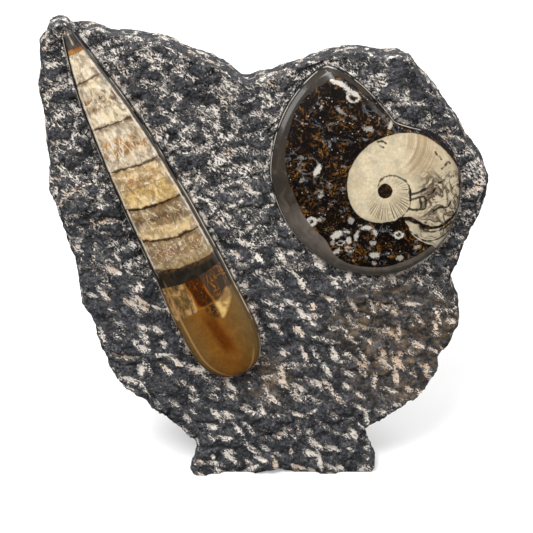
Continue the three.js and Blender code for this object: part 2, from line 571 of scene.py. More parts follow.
    def apart(
        self, vector: bpy.types.NodeSocket, point: tuple[float, float, float]
    ) -> bpy.types.NodeSocket:
        """How far a place on the drawing lies from a point of it.

        Args:
            vector: The place.
            point: The point.

        Returns:
            The distance.
        """
        node = self.nodes.new("ShaderNodeVectorMath")
        node.operation = "DISTANCE"
        self.put(node.inputs[0], vector)
        node.inputs[1].default_value = point
        return node.outputs["Value"]

    def cells(self, vector: bpy.types.NodeSocket, size: float) -> bpy.types.NodeSocket:
        """A random number from 0 to 1 for each cell of a size in millimetres.

        Args:
            vector: The place.
            size: The size of the cells.

        Returns:
            The number.
        """
        node = self.nodes.new("ShaderNodeTexVoronoi")
        self.put(node.inputs["Vector"], vector)
        node.inputs["Scale"].default_value = 1 / size
        return self.parts(node.outputs["Color"])[0]

    def mix(self, share: Value, first: object, second: object) -> bpy.types.NodeSocket:
        """Goes from a first colour to a second one.

        Args:
            share: How much of the second colour there is.
            first: The first colour.
            second: The second colour.

        Returns:
            The mixed colour.
        """
        node = self.nodes.new("ShaderNodeMix")
        node.data_type = "RGBA"
        self.put(node.inputs[0], share)
        self.put(node.inputs[6], first)
        self.put(node.inputs[7], second)
        return node.outputs[2]

    def shade(self, colour: bpy.types.NodeSocket, by: Value) -> bpy.types.NodeSocket:
        """A colour made darker or lighter by a factor.

        Args:
            colour: The colour.
            by: The factor.

        Returns:
            The shaded colour.
        """
        node = self.nodes.new("ShaderNodeVectorMath")
        node.operation = "SCALE"
        self.put(node.inputs[0], colour)
        self.put(node.inputs["Scale"], by)
        return node.outputs[0]

    def ramp(self, share: Value, *colours: str) -> bpy.types.NodeSocket:
        """Passes evenly through some colours as the share goes from 0 to 1.

        Args:
            share: Where between the colours to read.
            colours: The colours, as hex digits.

        Returns:
            The colour.
        """
        node = self.nodes.new("ShaderNodeValToRGB")
        self.put(node.inputs[0], share)
        stops = node.color_ramp.elements
        while len(stops) < len(colours):
            stops.new(0.5)
        for i, code in enumerate(colours):
            stops[i].position = i / (len(colours) - 1)
            stops[i].color = paint(code)
        return node.outputs[0]

    def finish(
        self,
        colour: object,
        roughness: Value,
        shine: float,
        height: Value | None = None,
        depth: float = 0.1,
    ) -> bpy.types.Material:
        """Joins colour, roughness and fine relief to the shader.

        Args:
            colour: The colour of the surface.
            roughness: How dull it is.
            shine: How strongly it mirrors what is round it.
            height: The fine relief, from 0 to 1, if it has one.
            depth: How deep that relief is, in millimetres.

        Returns:
            The finished material.
        """
        self.put(self.shader.inputs["Base Color"], colour)
        self.put(self.shader.inputs["Roughness"], roughness)
        self.shader.inputs["Specular IOR Level"].default_value = shine
        if height is not None:
            bump = self.nodes.new("ShaderNodeBump")
            bump.inputs["Distance"].default_value = depth * MM
            self.put(bump.inputs["Height"], height)
            self.put(self.shader.inputs["Normal"], bump.outputs["Normal"])
        return self.material


@dataclass(frozen=True)
class Limestone:
    """Black limestone: dark and sugary, with pale bruises where a chisel crushed it."""

    deep: str = "#242528"
    stone: str = "#424347"
    dust: str = "#656362"
    grit: str = "#b4aea6"
    crushed: str = "#99948d"
    pale: str = "#e9e0d6"
    peach: str = "#dcb48e"
    tan: str = "#75624a"
    shine: float = 0.12
    relief: float = 0.6
    feather: float = 38.0

    def material(self) -> bpy.types.Material:
        """Makes the stone's material.

        Returns:
            The material.
        """
        bench = Bench("limestone")
        place = bench.place()
        fine = bench.noise(place, 0.8, 5.0, 0.7)
        cloud = bench.noise(place, 6.0, 3.0, 0.6)
        crystal = bench.cells(place, 0.7)
        tone = bench.plus(bench.times(fine, 0.5), bench.times(cloud, 0.25))
        tone = bench.plus(tone, bench.times(crystal, 0.25))
        colour = bench.ramp(bench.step(tone, 0.34, 0.78), self.deep, self.stone, self.dust)
        stain = bench.mark(Mark.STAIN.value)
        stained = bench.times(stain, bench.step(bench.noise(place, 2.2, 4.0, 0.65), 0.42, 0.62, 0.05, 0.8))
        colour = bench.mix(stained, colour, paint(self.tan))
        # painted shade: the stone is darkened where the chisel cut deep and lightened where it is uncut
        colour = bench.shade(colour, bench.step(bench.mark(Mark.PAINTED_HOLLOW_SHADE.value), 0.0, 1.0, 1.18, 0.62))
        flakes = bench.noise(place, 2.6, 2.0, 0.5, 1.4)
        colour = bench.shade(colour, bench.step(flakes, 0.42, 0.6, 0.85, 1.4))
        feathers = bench.turned(bench.plan(), self.feather, (0.7, 1.25, 1.0))
        ragged = bench.step(bench.noise(feathers, 1.3, 3.5, 0.58, 1.6), 0.36, 0.64)
        bruise = bench.mark(Mark.BRUISE.value)
        colour = self.grains_and_painted_glints(bench, colour, place, bruise)
        torn = bench.plus(bench.times(bruise, 1.15), bench.times(bench.plus(ragged, -0.5), 1.0))
        speckle = bench.step(bench.noise(place, 0.55, 3.0, 0.6), 0.36, 0.64)
        grit = bench.plus(bench.times(torn, 0.85), bench.times(speckle, 0.22))
        grit = bench.plus(grit, bench.times(bench.plus(crystal, -0.5), 0.16))
        crushed = bench.ramp(bench.step(grit, 0.42, 0.86), self.dust, self.crushed, self.pale)
        warm = bench.noise(place, 9.0, 2.0)
        warmth = bench.plus(bench.times(stain, 0.6), bench.step(warm, 0.5, 0.72, 0.0, 0.7))
        warmth = bench.times(bench.math("MINIMUM", warmth, 0.85), bench.step(torn, 0.55, 0.95))
        crushed = bench.mix(warmth, crushed, paint(self.peach))
        colour = bench.mix(bench.step(torn, 0.54, 0.68), colour, crushed)
        dull = bench.step(fine, 0.3, 0.7, 0.5, 0.78)
        height = bench.plus(bench.times(fine, 0.5), bench.times(ragged, 0.3))
        height = bench.plus(height, bench.times(crystal, 0.12))
        return bench.finish(colour, dull, self.shine, height, self.relief)

    def grains_and_painted_glints(
        self,
        bench: Bench,
        colour: bpy.types.NodeSocket,
        place: bpy.types.NodeSocket,
        bruise: bpy.types.NodeSocket,
    ) -> bpy.types.NodeSocket:
        """Strews pale grains over the stone, partly real grains and partly painted glints of light, and
        thin pale threads round its bruises.

        Args:
            bench: The material's bench.
            colour: The colour of the stone.
            place: The place in millimetres.
            bruise: How bruised the stone is.

        Returns:
            The colour with the grains and threads.
        """
        near = bench.step(bruise, 0.02, 0.4)
        threads = bench.times(bench.worms(place, 1.9, 0.02, 1.8), bench.plus(near, 0.06))
        # pale grains that also stand in for painted glints of light
        sugar_and_glints = bench.times(bench.dots(place, 0.6, 0.34, 0.9), 0.6)
        return bench.mix(bench.math("MINIMUM", bench.plus(threads, sugar_and_glints), 0.85), colour, paint(self.grit))


@dataclass(frozen=True)
class Septum:
    """A wall between two chambers of the orthoceras, drawn along and across its axis in millimetres."""

    along: float
    slope: float
    bend: float
    thick: float
    strength: float


@dataclass(frozen=True)
class Chamber:
    """What fills the shell past a septum: its ground, and a blush of another colour across it."""

    wall: Septum
    ground: str
    blush: str
    blush_at: float = 5.0
    blush_half: float = 0.0


@dataclass(frozen=True)
class OrthocerasCalcite:
    """Polished calcite in a straight shell: cream chambers, a dark plug and an amber end."""

    smoke: str = "#5a5755"
    rust: str = "#6d4423"
    cream: str = "#cdbb9b"
    oat: str = "#bfad91"
    honey: str = "#c2a678"
    wax: str = "#c7a565"
    milk: str = "#eee4d0"
    straw: str = "#957e59"
    ash: str = "#7c7164"
    bark: str = "#2f2013"
    blush: str = "#7d5538"
    umber: str = "#6b4a2c"
    toffee: str = "#a8783f"
    plug: str = "#262019"
    amber: str = "#7a4e1a"
    glow: str = "#552500"
    resin: str = "#8b6b40"
    olive: str = "#69502a"
    # a pale tan, used for streaks in the amber end and for its painted highlight band
    edging_and_highlight: str = "#b99264"
    ember: str = "#3a1a02"
    flame: str = "#9a5c12"
    slate: str = "#3f3225"
    gold: str = "#d8b270"
    rim: str = "#1f1e20"
    # the middle of the painted highlight on the chambers, along and across the axis
    painted_highlight_middle: tuple[float, float, float] = (51.6, 0.7, 0.0)
    stain_middle: float = 104.0
    stain_lean: float = 0.12
    amber_start: float = 85.3
    shine: float = 0.3

    def chambers(self) -> tuple[Chamber, ...]:
        """The fillings from the tip to the plug.

        Returns:
            The chambers in order.
        """
        return (
            Chamber(Septum(5.0, 0.0, 0.0, 0.2, 0.5), self.rust, self.toffee, 1.0, 0.5),
            Chamber(Septum(6.8, 0.0, 0.03, 0.1, 0.0), self.cream, self.oat, 5.5, 2.5),
            Chamber(Septum(15.4, 0.0, 0.0, 0.4, 0.85), self.cream, self.blush, 7.4, 2.2),
            Chamber(Septum(30.6, 0.07, 0.0, 0.5, 0.9), self.oat, self.toffee, 7.6, 2.8),
            Chamber(Septum(45.2, 0.115, -0.004, 0.6, 0.9), self.honey, self.toffee, 4.6, 1.6),
            Chamber(Septum(52.0, 0.12, -0.006, 0.2, 0.4), self.wax, self.honey),
            Chamber(Septum(58.8, 0.14, -0.008, 0.8, 1.0), self.straw, self.umber, 4.4, 1.2),
            Chamber(Septum(65.8, 0.17, -0.009, 0.1, 0.0), self.honey, self.straw),
            Chamber(Septum(70.2, 0.19, -0.01, 0.75, 0.95), self.straw, self.blush, 4.4, 1.2),
            Chamber(Septum(80.3, 0.15, -0.015, 0.3, 0.6), self.plug, self.plug, 2.4, 0.4),
        )

    def material(self) -> bpy.types.Material:
        """Makes the shell's material.

        Returns:
            The material.
        """
        bench = Bench("orthoceras_calcite")
        plan = bench.plan()
        along, across, edge = bench.parts(plan)
        wobble = bench.times(bench.plus(bench.noise(plan, 4.5, 4.0, 0.55), -0.5), 1.8)
        square = bench.times(across, across)
        mottle = bench.noise(plan, 1.6, 5.0, 0.65, 0.5)
        uneven = bench.step(bench.noise(plan, 3.4, 2.0), 0.32, 0.68, 0.35, 1.7)
        drawn_out = bench.stretch(plan, (1.0, 0.6, 0.0))
        spots = bench.step(bench.noise(drawn_out, 2.4, 3.0, 0.5, 1.2), 0.41, 0.57)
        colour = bench.mix(bench.noise(plan, 1.8), paint(self.smoke), paint(self.rim))
        ridge = bench.times(bench.band(across, -0.3, 0.2, 0.25), bench.step(along, 3.6, 4.6, 0.8, 0.0))
        colour = bench.mix(ridge, colour, paint(self.oat))
        levels = []
        for chamber in self.chambers():
            wall = chamber.wall
            sag = bench.plus(bench.times(across, wall.slope), bench.times(square, wall.bend))
            level = bench.plus(bench.math("SUBTRACT", along, sag), bench.plus(wobble, -wall.along))
            flush = bench.band(level, chamber.blush_at, chamber.blush_half, 1.6)
            ground = bench.mix(bench.times(flush, spots), paint(chamber.ground), paint(chamber.blush))
            colour = bench.mix(bench.step(level, -0.2, 0.2), colour, ground)
            levels.append((level, wall))
        colour = self.clouded(bench, colour, plan, along, edge)
        for level, wall in levels:
            shadow = bench.times(bench.band(level, 0.4, 0.5, 1.1), bench.times(spots, wall.strength * 0.85))
            colour = bench.mix(shadow, colour, paint(self.umber))
            drawn = bench.band(bench.math("DIVIDE", level, uneven), 0.0, wall.thick / 2, 0.25)
            colour = bench.mix(bench.times(drawn, wall.strength), colour, paint(self.bark))
        colour = self.body(bench, colour, along, across, wobble)
        colour = self.rimmed(bench, colour, along, across, edge)
        gloss = bench.step(mottle, 0.3, 0.7, 0.1, 0.2)
        return bench.finish(colour, gloss, self.shine, mottle, 0.02)

    def clouded(
        self,
        bench: Bench,
        colour: bpy.types.NodeSocket,
        plan: bpy.types.NodeSocket,
        along: bpy.types.NodeSocket,
        edge: bpy.types.NodeSocket,
    ) -> bpy.types.NodeSocket:
        """Lays soft clouds, faint fibres along the axis and fine cracks over the chambers, and a painted
        highlight, a pale spot near the middle of the shell.

        Args:
            bench: The material's bench.
            colour: The colour of the chambers.
            plan: The place on the drawing.
            along: The place along the axis.
            edge: How far in from the outline it is.

        Returns:
            The clouded colour.
        """
        fibres = bench.noise(bench.stretch(plan, (0.45, 1.2, 0.0)), 1.0, 3.0, 0.6, 0.8)
        cloud = bench.noise(plan, 3.4, 3.0, 0.55, 1.0)
        colour = bench.shade(colour, bench.step(fibres, 0.36, 0.64, 0.92, 1.07))
        colour = bench.shade(colour, bench.step(cloud, 0.36, 0.64, 0.62, 1.26))
        filled = bench.times(bench.step(along, 78.5, 79.5, 1.0, 0.0), bench.step(along, 6.0, 7.5))
        milky = bench.step(bench.noise(bench.stretch(plan, (1.0, 1.0, 3.0)), 4.2, 2.0, 0.5, 1.4), 0.5, 0.7)
        milky = bench.times(milky, bench.step(along, 36.0, 56.0, 0.75, 0.2))
        colour = bench.mix(bench.times(milky, filled), colour, paint(self.milk))
        grey = bench.times(bench.step(edge, 0.8, 4.2, 0.9, 0.0), bench.step(cloud, 0.38, 0.58, 1.0, 0.3))
        colour = bench.mix(bench.times(grey, filled), colour, paint(self.ash))
        cracks = bench.times(bench.worms(plan, 3.6, 0.01, 1.6), bench.step(cloud, 0.4, 0.6, 0.7, 0.0))
        colour = bench.mix(bench.times(cracks, filled), colour, paint(self.blush))
        crackle = bench.times(bench.worms(plan, 4.2, 0.012, 1.8), bench.step(cloud, 0.4, 0.56, 0.1, 0.9))
        colour = bench.mix(bench.times(crackle, filled), colour, paint(self.milk))
        # painted highlight: a pale spot round a point near the middle of the shell
        near = bench.apart(bench.stretch(plan, (1.0, 0.6, 0.0)), self.painted_highlight_middle)
        lit = bench.step(bench.plus(near, bench.times(fibres, 2.4)), 1.7, 1.1)
        return bench.mix(lit, colour, paint(self.milk))

    def body(
        self,
        bench: Bench,
        colour: bpy.types.NodeSocket,
        along: bpy.types.NodeSocket,
        across: bpy.types.NodeSocket,
        wobble: bpy.types.NodeSocket,
    ) -> bpy.types.NodeSocket:
        """Paints the amber end past the plug, with its rust, slate and gold patches.

        Args:
            bench: The material's bench.
            colour: The colour of the chambers.
            along: The place along the axis.
            across: The place across the axis.
            wobble: A small unevenness of the edges.

        Returns:
            The colour with the amber end.
        """
        plan = bench.joined(along, across)
        haze = bench.noise(plan, 6.0, 4.0, 0.6, 0.4)
        grainy = bench.noise(plan, 1.1, 5.0, 0.7)
        amber = bench.ramp(bench.step(across, -11.0, 12.0), self.olive, self.amber, self.amber, self.olive)
        leaning = bench.plus(across, bench.times(bench.plus(along, -self.stain_middle), -self.stain_lean))
        stain = bench.band(bench.plus(leaning, bench.times(wobble, 0.7)), 0.9, 1.9, 1.2)
        stain = bench.times(stain, bench.step(along, 93.0, 103.0))
        stain = bench.times(stain, bench.step(along, 115.0, 109.5))
        amber = bench.mix(bench.times(stain, 0.85), amber, paint(self.glow))
        amber = bench.shade(amber, bench.step(bench.plus(haze, grainy), 0.75, 1.25, 0.82, 1.2))
        stripes = bench.noise(bench.stretch(plan, (0.5, 0.9, 0.0)), 2.2, 5.0, 0.68, 1.2)
        tones = (self.slate, self.olive, self.resin, self.edging_and_highlight)
        streaked = bench.ramp(bench.step(stripes, 0.3, 0.7), *tones)
        veins = bench.worms(bench.stretch(plan, (0.6, 1.2, 0.0)), 2.6, 0.02, 1.2)
        veins = bench.times(veins, bench.step(haze, 0.38, 0.5, 0.15, 0.9))
        resinous = bench.ramp(bench.step(stripes, 0.34, 0.62), self.bark, self.ember, self.glow)
        speckled = bench.step(grainy, 0.56, 0.64, 0.0, 0.75)
        gilded = bench.ramp(bench.step(haze, 0.36, 0.56), self.resin, self.gold)
        rim = bench.step(bench.mark("ember"), 1.0, 0.0)
        glowing = bench.math("MAXIMUM", rim, bench.step(grainy, 0.55, 0.7))
        patches = (
            ("streaks", streaked, 0.35),
            ("ember", bench.mix(glowing, resinous, paint(self.flame)), 0.2),
            ("slate", bench.mix(veins, paint(self.slate), paint(self.flame)), 0.25),
            ("gold", bench.mix(speckled, gilded, paint(self.toffee)), 0.7),
            ("soot", bench.mix(bench.step(grainy, 0.42, 0.52), amber, paint(self.bark)), 0.8),
        )
        for name, filling, soft in patches:
            depth = bench.plus(bench.mark(name), bench.times(wobble, 0.6))
            amber = bench.mix(bench.step(depth, -soft, soft), amber, filling)
        sag = bench.times(bench.times(across, across), -0.011)
        level = bench.math("SUBTRACT", bench.plus(along, bench.times(wobble, 0.5)), sag)
        started = bench.step(level, self.amber_start - 0.2, self.amber_start + 0.2)
        return bench.mix(started, colour, amber)

    def rimmed(
        self,
        bench: Bench,
        colour: bpy.types.NodeSocket,
        along: bpy.types.NodeSocket,
        across: bpy.types.NodeSocket,
        edge: bpy.types.NodeSocket,
    ) -> bpy.types.NodeSocket:
        """Darkens the shell's two edges, which fade out along the amber end, and paints a highlight band
        along the lower side and round the end, and a glint on the right rim.

        Args:
            bench: The material's bench.
            colour: The colour of the shell.
            along: The place along the axis.
            across: The place across the axis.
            edge: How far in from the outline it is.

        Returns:
            The colour with its edges.
        """
        fade = bench.step(along, 80.0, 97.0, 1.0, 0.35)
        # painted highlight: a pale band just inside the lower edge and round the end of the amber end
        turned = bench.times(bench.band(edge, 2.7, 0.3, 0.3), bench.step(along, 80.0, 90.0, 0.0, 0.55))
        low = bench.math("MAXIMUM", bench.step(across, 0.0, -4.0), bench.step(along, 112.0, 118.0))
        colour = bench.mix(bench.times(turned, low), colour, paint(self.edging_and_highlight))
        broken = bench.step(bench.noise(along, 5.0), 0.4, 0.55)
        inner = bench.times(bench.band(edge, 1.6, 0.15, 0.2), broken)
        inner = bench.times(inner, bench.step(along, 5.5, 9.0))
        inner = bench.times(inner, bench.step(along, 76.0, 82.0, 0.7, 0.0))
        colour = bench.mix(inner, colour, paint(self.milk))
        rim = bench.step(edge, 0.95, 1.35, 1.0, 0.0)
        colour = bench.mix(bench.times(rim, fade), colour, paint(self.rim))
        # painted glint: a thin pale line along the right rim
        glint = bench.times(bench.band(edge, 0.75, 0.08, 0.14), bench.step(across, 0.0, 2.0, 0.0, 0.6))
        colour = bench.mix(bench.times(glint, fade), colour, paint(self.ash))
        chipped = bench.step(bench.noise(bench.joined(along, across), 7.0, 2.0, 0.5), 0.44, 0.6, 0.0, 0.8)
        return bench.mix(bench.times(chipped, bench.band(edge, 0.34, 0.1, 0.1)), colour, paint(self.milk))


@dataclass(frozen=True)
class GoniatiteCalcite:
    """Polished calcite in a coiled shell: cream whorls in a dark, flecked infill and a grey rim."""

    rim: str = "#1f1f22"
    band: str = "#3b342c"
    ash: str = "#6b635b"
    night: str = "#070403"
    soil: str = "#1f150d"
    umber: str = "#3d2a15"
    ochre: str = "#86591f"
    shell: str = "#cdc6ba"
    pearl: str = "#6d6862"
    steel: str = "#62666c"
    white: str = "#efe6d2"
    cream: str = "#dbc8a2"
    milk: str = "#cdc0a6"
    tan: str = "#9a8261"
    smoke: str = "#6e6252"
    bark: str = "#4a3826"
    ink: str = "#17110c"
    rust: str = "#6a3d12"
    shine: float = 0.3

    def material(self) -> bpy.types.Material:
        """Makes the shell's material.

        Returns:
            The material.
        """
        bench = Bench("goniatite_calcite")
        plan = bench.plan()
        wobble = bench.times(bench.plus(bench.noise(plan, 1.4, 3.0), -0.5), 0.7)
        low = bench.step(bench.parts(plan)[1], 98.0, 84.0)
        veiled = bench.plus(bench.noise(plan, 5.0, 4.0, 0.6, 1.0), bench.times(low, 0.5))
        smooth = bench.ramp(bench.plus(veiled, -0.08), self.rim, self.band, self.ash)
        colour = bench.mix(bench.times(bench.dots(plan, 1.1, 0.25, 0.9), 0.5), smooth, paint(self.pearl))
        colour = self.over(bench, colour, "infill", self.infill(bench, plan, wobble), wobble)
        colour = self.over(bench, colour, "layers", self.layers(bench, plan), wobble)
        cream = self.cream_shell(bench, plan)
        colour = self.over(bench, colour, "chamber", cream, wobble)
        colour = self.over(bench, colour, "whorl", cream, wobble)
        colour = self.inked(bench, colour, plan, wobble)
        edge = bench.mark("edge")
        colour = bench.mix(bench.step(edge, 0.4, 0.9, 1.0, 0.0), colour, paint(self.rim))
        chipped = bench.times(bench.band(edge, 0.34, 0.1, 0.1), bench.step(veiled, 0.42, 0.55))
        colour = bench.mix(bench.times(chipped, 0.8), colour, paint(self.shell))
        gloss = bench.step(bench.noise(plan, 3.0, 3.0), 0.3, 0.7, 0.1, 0.2)
        return bench.finish(colour, gloss, self.shine, bench.noise(plan, 1.2, 3.0), 0.015)

    @staticmethod
    def over(
        bench: Bench,
        colour: bpy.types.NodeSocket,
        name: str,
        filling: bpy.types.NodeSocket,
        wobble: bpy.types.NodeSocket,
    ) -> bpy.types.NodeSocket:
        """Lays a filling over a colour inside one of the drawn outlines."""
        depth = bench.plus(bench.mark(name), bench.times(wobble, 0.5))
        return bench.mix(bench.step(depth, -0.12, 0.18), colour, filling)

    def infill(
        self, bench: Bench, plan: bpy.types.NodeSocket, wobble: bpy.types.NodeSocket
    ) -> bpy.types.NodeSocket:
        """Dark mud with ochre worms, pale specks and broken pieces of shell.

        Args:
            bench: The material's bench.
            plan: The place on the drawing.
            wobble: A small unevenness of the edges. Not used.

        Returns:
            The colour of the infill.
        """
        patchy = bench.step(bench.noise(plan, 5.0, 3.0, 0.6), 0.36, 0.64)
        swirl = bench.noise(plan, 5.0, 3.0, 0.55, 2.6)
        lit = bench.plus(bench.times(bench.plus(swirl, -0.5), 3.4), bench.times(patchy, 0.5))
        mud = bench.ramp(bench.step(lit, 0.2, 1.3), self.night, self.soil, self.umber, self.ochre)
        arcs = bench.times(bench.curls(plan, 7.0, 0.2, 5.0), bench.step(swirl, 0.46, 0.56))
        rusty = bench.mix(patchy, paint(self.umber), paint(self.ochre))
        mud = bench.mix(bench.times(arcs, 0.7), mud, rusty)
        threads = bench.times(bench.worms(plan, 4.2, 0.02, 2.6), bench.step(patchy, 0.4, 0.9, 0.1, 0.9))
        mud = bench.mix(threads, mud, paint(self.ochre))
        sections = bench.worms(bench.stretch(plan, (1.0, 1.0, 2.0)), 7.0, 0.03, 1.8)
        sections = bench.times(sections, bench.step(bench.noise(plan, 3.6), 0.5, 0.6))
        mud = bench.mix(bench.times(sections, 0.8), mud, paint(self.steel))
        gaps = bench.worms(plan, 4.6, 0.05, 2.4)
        mud = bench.mix(gaps, mud, paint(self.night))
        specks = bench.dots(plan, 0.9, 0.3, 0.9)
        mud = bench.mix(bench.times(specks, 0.55), mud, paint(self.shell))
        torn = bench.noise(plan, 0.9, 4.0, 0.7, 1.0)
        tone = bench.plus(bench.mark("shell_tone"), bench.times(bench.plus(torn, -0.5), 1.0))
        pieces = bench.mix(bench.step(tone, 0.0, 1.0), paint(self.pearl), paint(self.shell))
        depth = bench.plus(bench.mark("shells"), bench.times(bench.plus(torn, -0.5), 2.2))
        return bench.mix(bench.step(depth, 0.0, 0.45), mud, pieces)

    def layers(self, bench: Bench, plan: bpy.types.NodeSocket) -> bpy.types.NodeSocket:
        """Thin grey and tan layers of the outer shell."""
        stripes = bench.band(bench.math("FRACT", bench.times(bench.mark("layers"), 0.8)), 0.5, 0.2, 0.2)
        return bench.mix(bench.times(stripes, bench.noise(plan, 2.0)), paint(self.milk), paint(self.bark))

    def cream_shell(self, bench: Bench, plan: bpy.types.NodeSocket) -> bpy.types.NodeSocket:
        """Cream calcite, marbled on its older side and with tan lines of growth.

        Args:
            bench: The material's bench.
            plan: The place on the drawing.

        Returns:
            The colour of the shell.
        """
        mottle = bench.noise(plan, 2.2, 5.0, 0.65, 0.8)
        cream = bench.ramp(bench.step(mottle, 0.3, 0.65), self.milk, self.cream)
        cream = bench.mix(bench.times(bench.worms(plan, 2.0, 0.04, 1.2), 0.25), cream, paint(self.white))
        cream = bench.shade(cream, bench.step(bench.noise(plan, 5.0, 3.0), 0.38, 0.62, 0.81, 1.0))
        cream = bench.shade(cream, bench.step(bench.noise(plan, 0.8, 3.0, 0.6), 0.36, 0.64, 0.9, 1.06))
        cream = bench.shade(cream, bench.step(bench.mark("whorl"), 0.0, 2.2, 0.82, 1.0))
        marble = bench.noise(plan, 6.0, 5.0, 0.6, 1.2)
        aged = bench.mark("aged")
        right = bench.step(bench.parts(plan)[0], 43.0, 51.0)
        cream = bench.mix(bench.times(right, 0.35), cream, paint(self.tan))
        cream = bench.mix(bench.times(aged, 0.7), cream, paint(self.milk))
        blotch = bench.times(bench.band(marble, 0.55, 0.05, 0.06), aged)
        cream = bench.mix(bench.times(blotch, 0.9), cream, paint(self.smoke))
        core = bench.times(bench.band(marble, 0.52, 0.024, 0.02), aged)
        core = bench.math("MAXIMUM", core, bench.times(bench.worms(plan, 5.0, 0.012, 1.8), aged))
        cream = bench.mix(bench.times(core, 0.9), cream, paint(self.bark))
        rings = bench.noise(bench.joined(bench.mark("growth"), 0.0), 1.0, 3.0, 0.6)
        lines = bench.times(bench.step(rings, 0.42, 0.56), bench.mark("growing"))
        cream = bench.mix(bench.times(lines, 0.85), cream, paint(self.tan))
        pores = bench.times(bench.dots(plan, 1.3, 0.22, 0.8), 0.3)
        return bench.mix(pores, cream, paint(self.tan))

    def inked(
        self,
        bench: Bench,
        colour: bpy.types.NodeSocket,
        plan: bpy.types.NodeSocket,
        wobble: bpy.types.NodeSocket,
    ) -> bpy.types.NodeSocket:
        """Draws the dark lines of the coil, the ribs of the inner whorl and the eye of the coil.

        Args:
            bench: The material's bench.
            colour: The colour of the shell and its infill.
            plan: The place on the drawing.
            wobble: A small unevenness of the lines.

        Returns:
            The colour with the lines.
        """
        ribs = bench.noise(bench.joined(bench.mark("turn"), 0.0), 0.055, 2.0, 0.6)
        ribs = bench.times(bench.step(ribs, 0.48, 0.58), bench.mark("ribbed"))
        colour = bench.mix(bench.times(ribs, 0.9), colour, paint(self.bark))
        outline = bench.band(bench.plus(bench.mark("whorl"), bench.times(wobble, 0.5)), 0.0, 0.14, 0.16)
        colour = bench.mix(bench.times(outline, 0.8), colour, paint(self.ink))
        for name, half, strength in (("coil", 0.22, 0.85), ("suture", 0.2, 0.9), ("hook", 0.34, 0.9)):
            distance = bench.plus(bench.mark(name), bench.times(wobble, 1.7))
            line = bench.times(bench.step(distance, half - 0.1, half + 0.2, 1.0, 0.0), strength)
            colour = bench.mix(line, colour, paint(self.ink))
        hole = bench.ramp(bench.noise(plan, 1.2, 3.0), self.night, self.ink, self.rust)
        return self.over(bench, colour, "eye", hole, wobble)


# Pieces


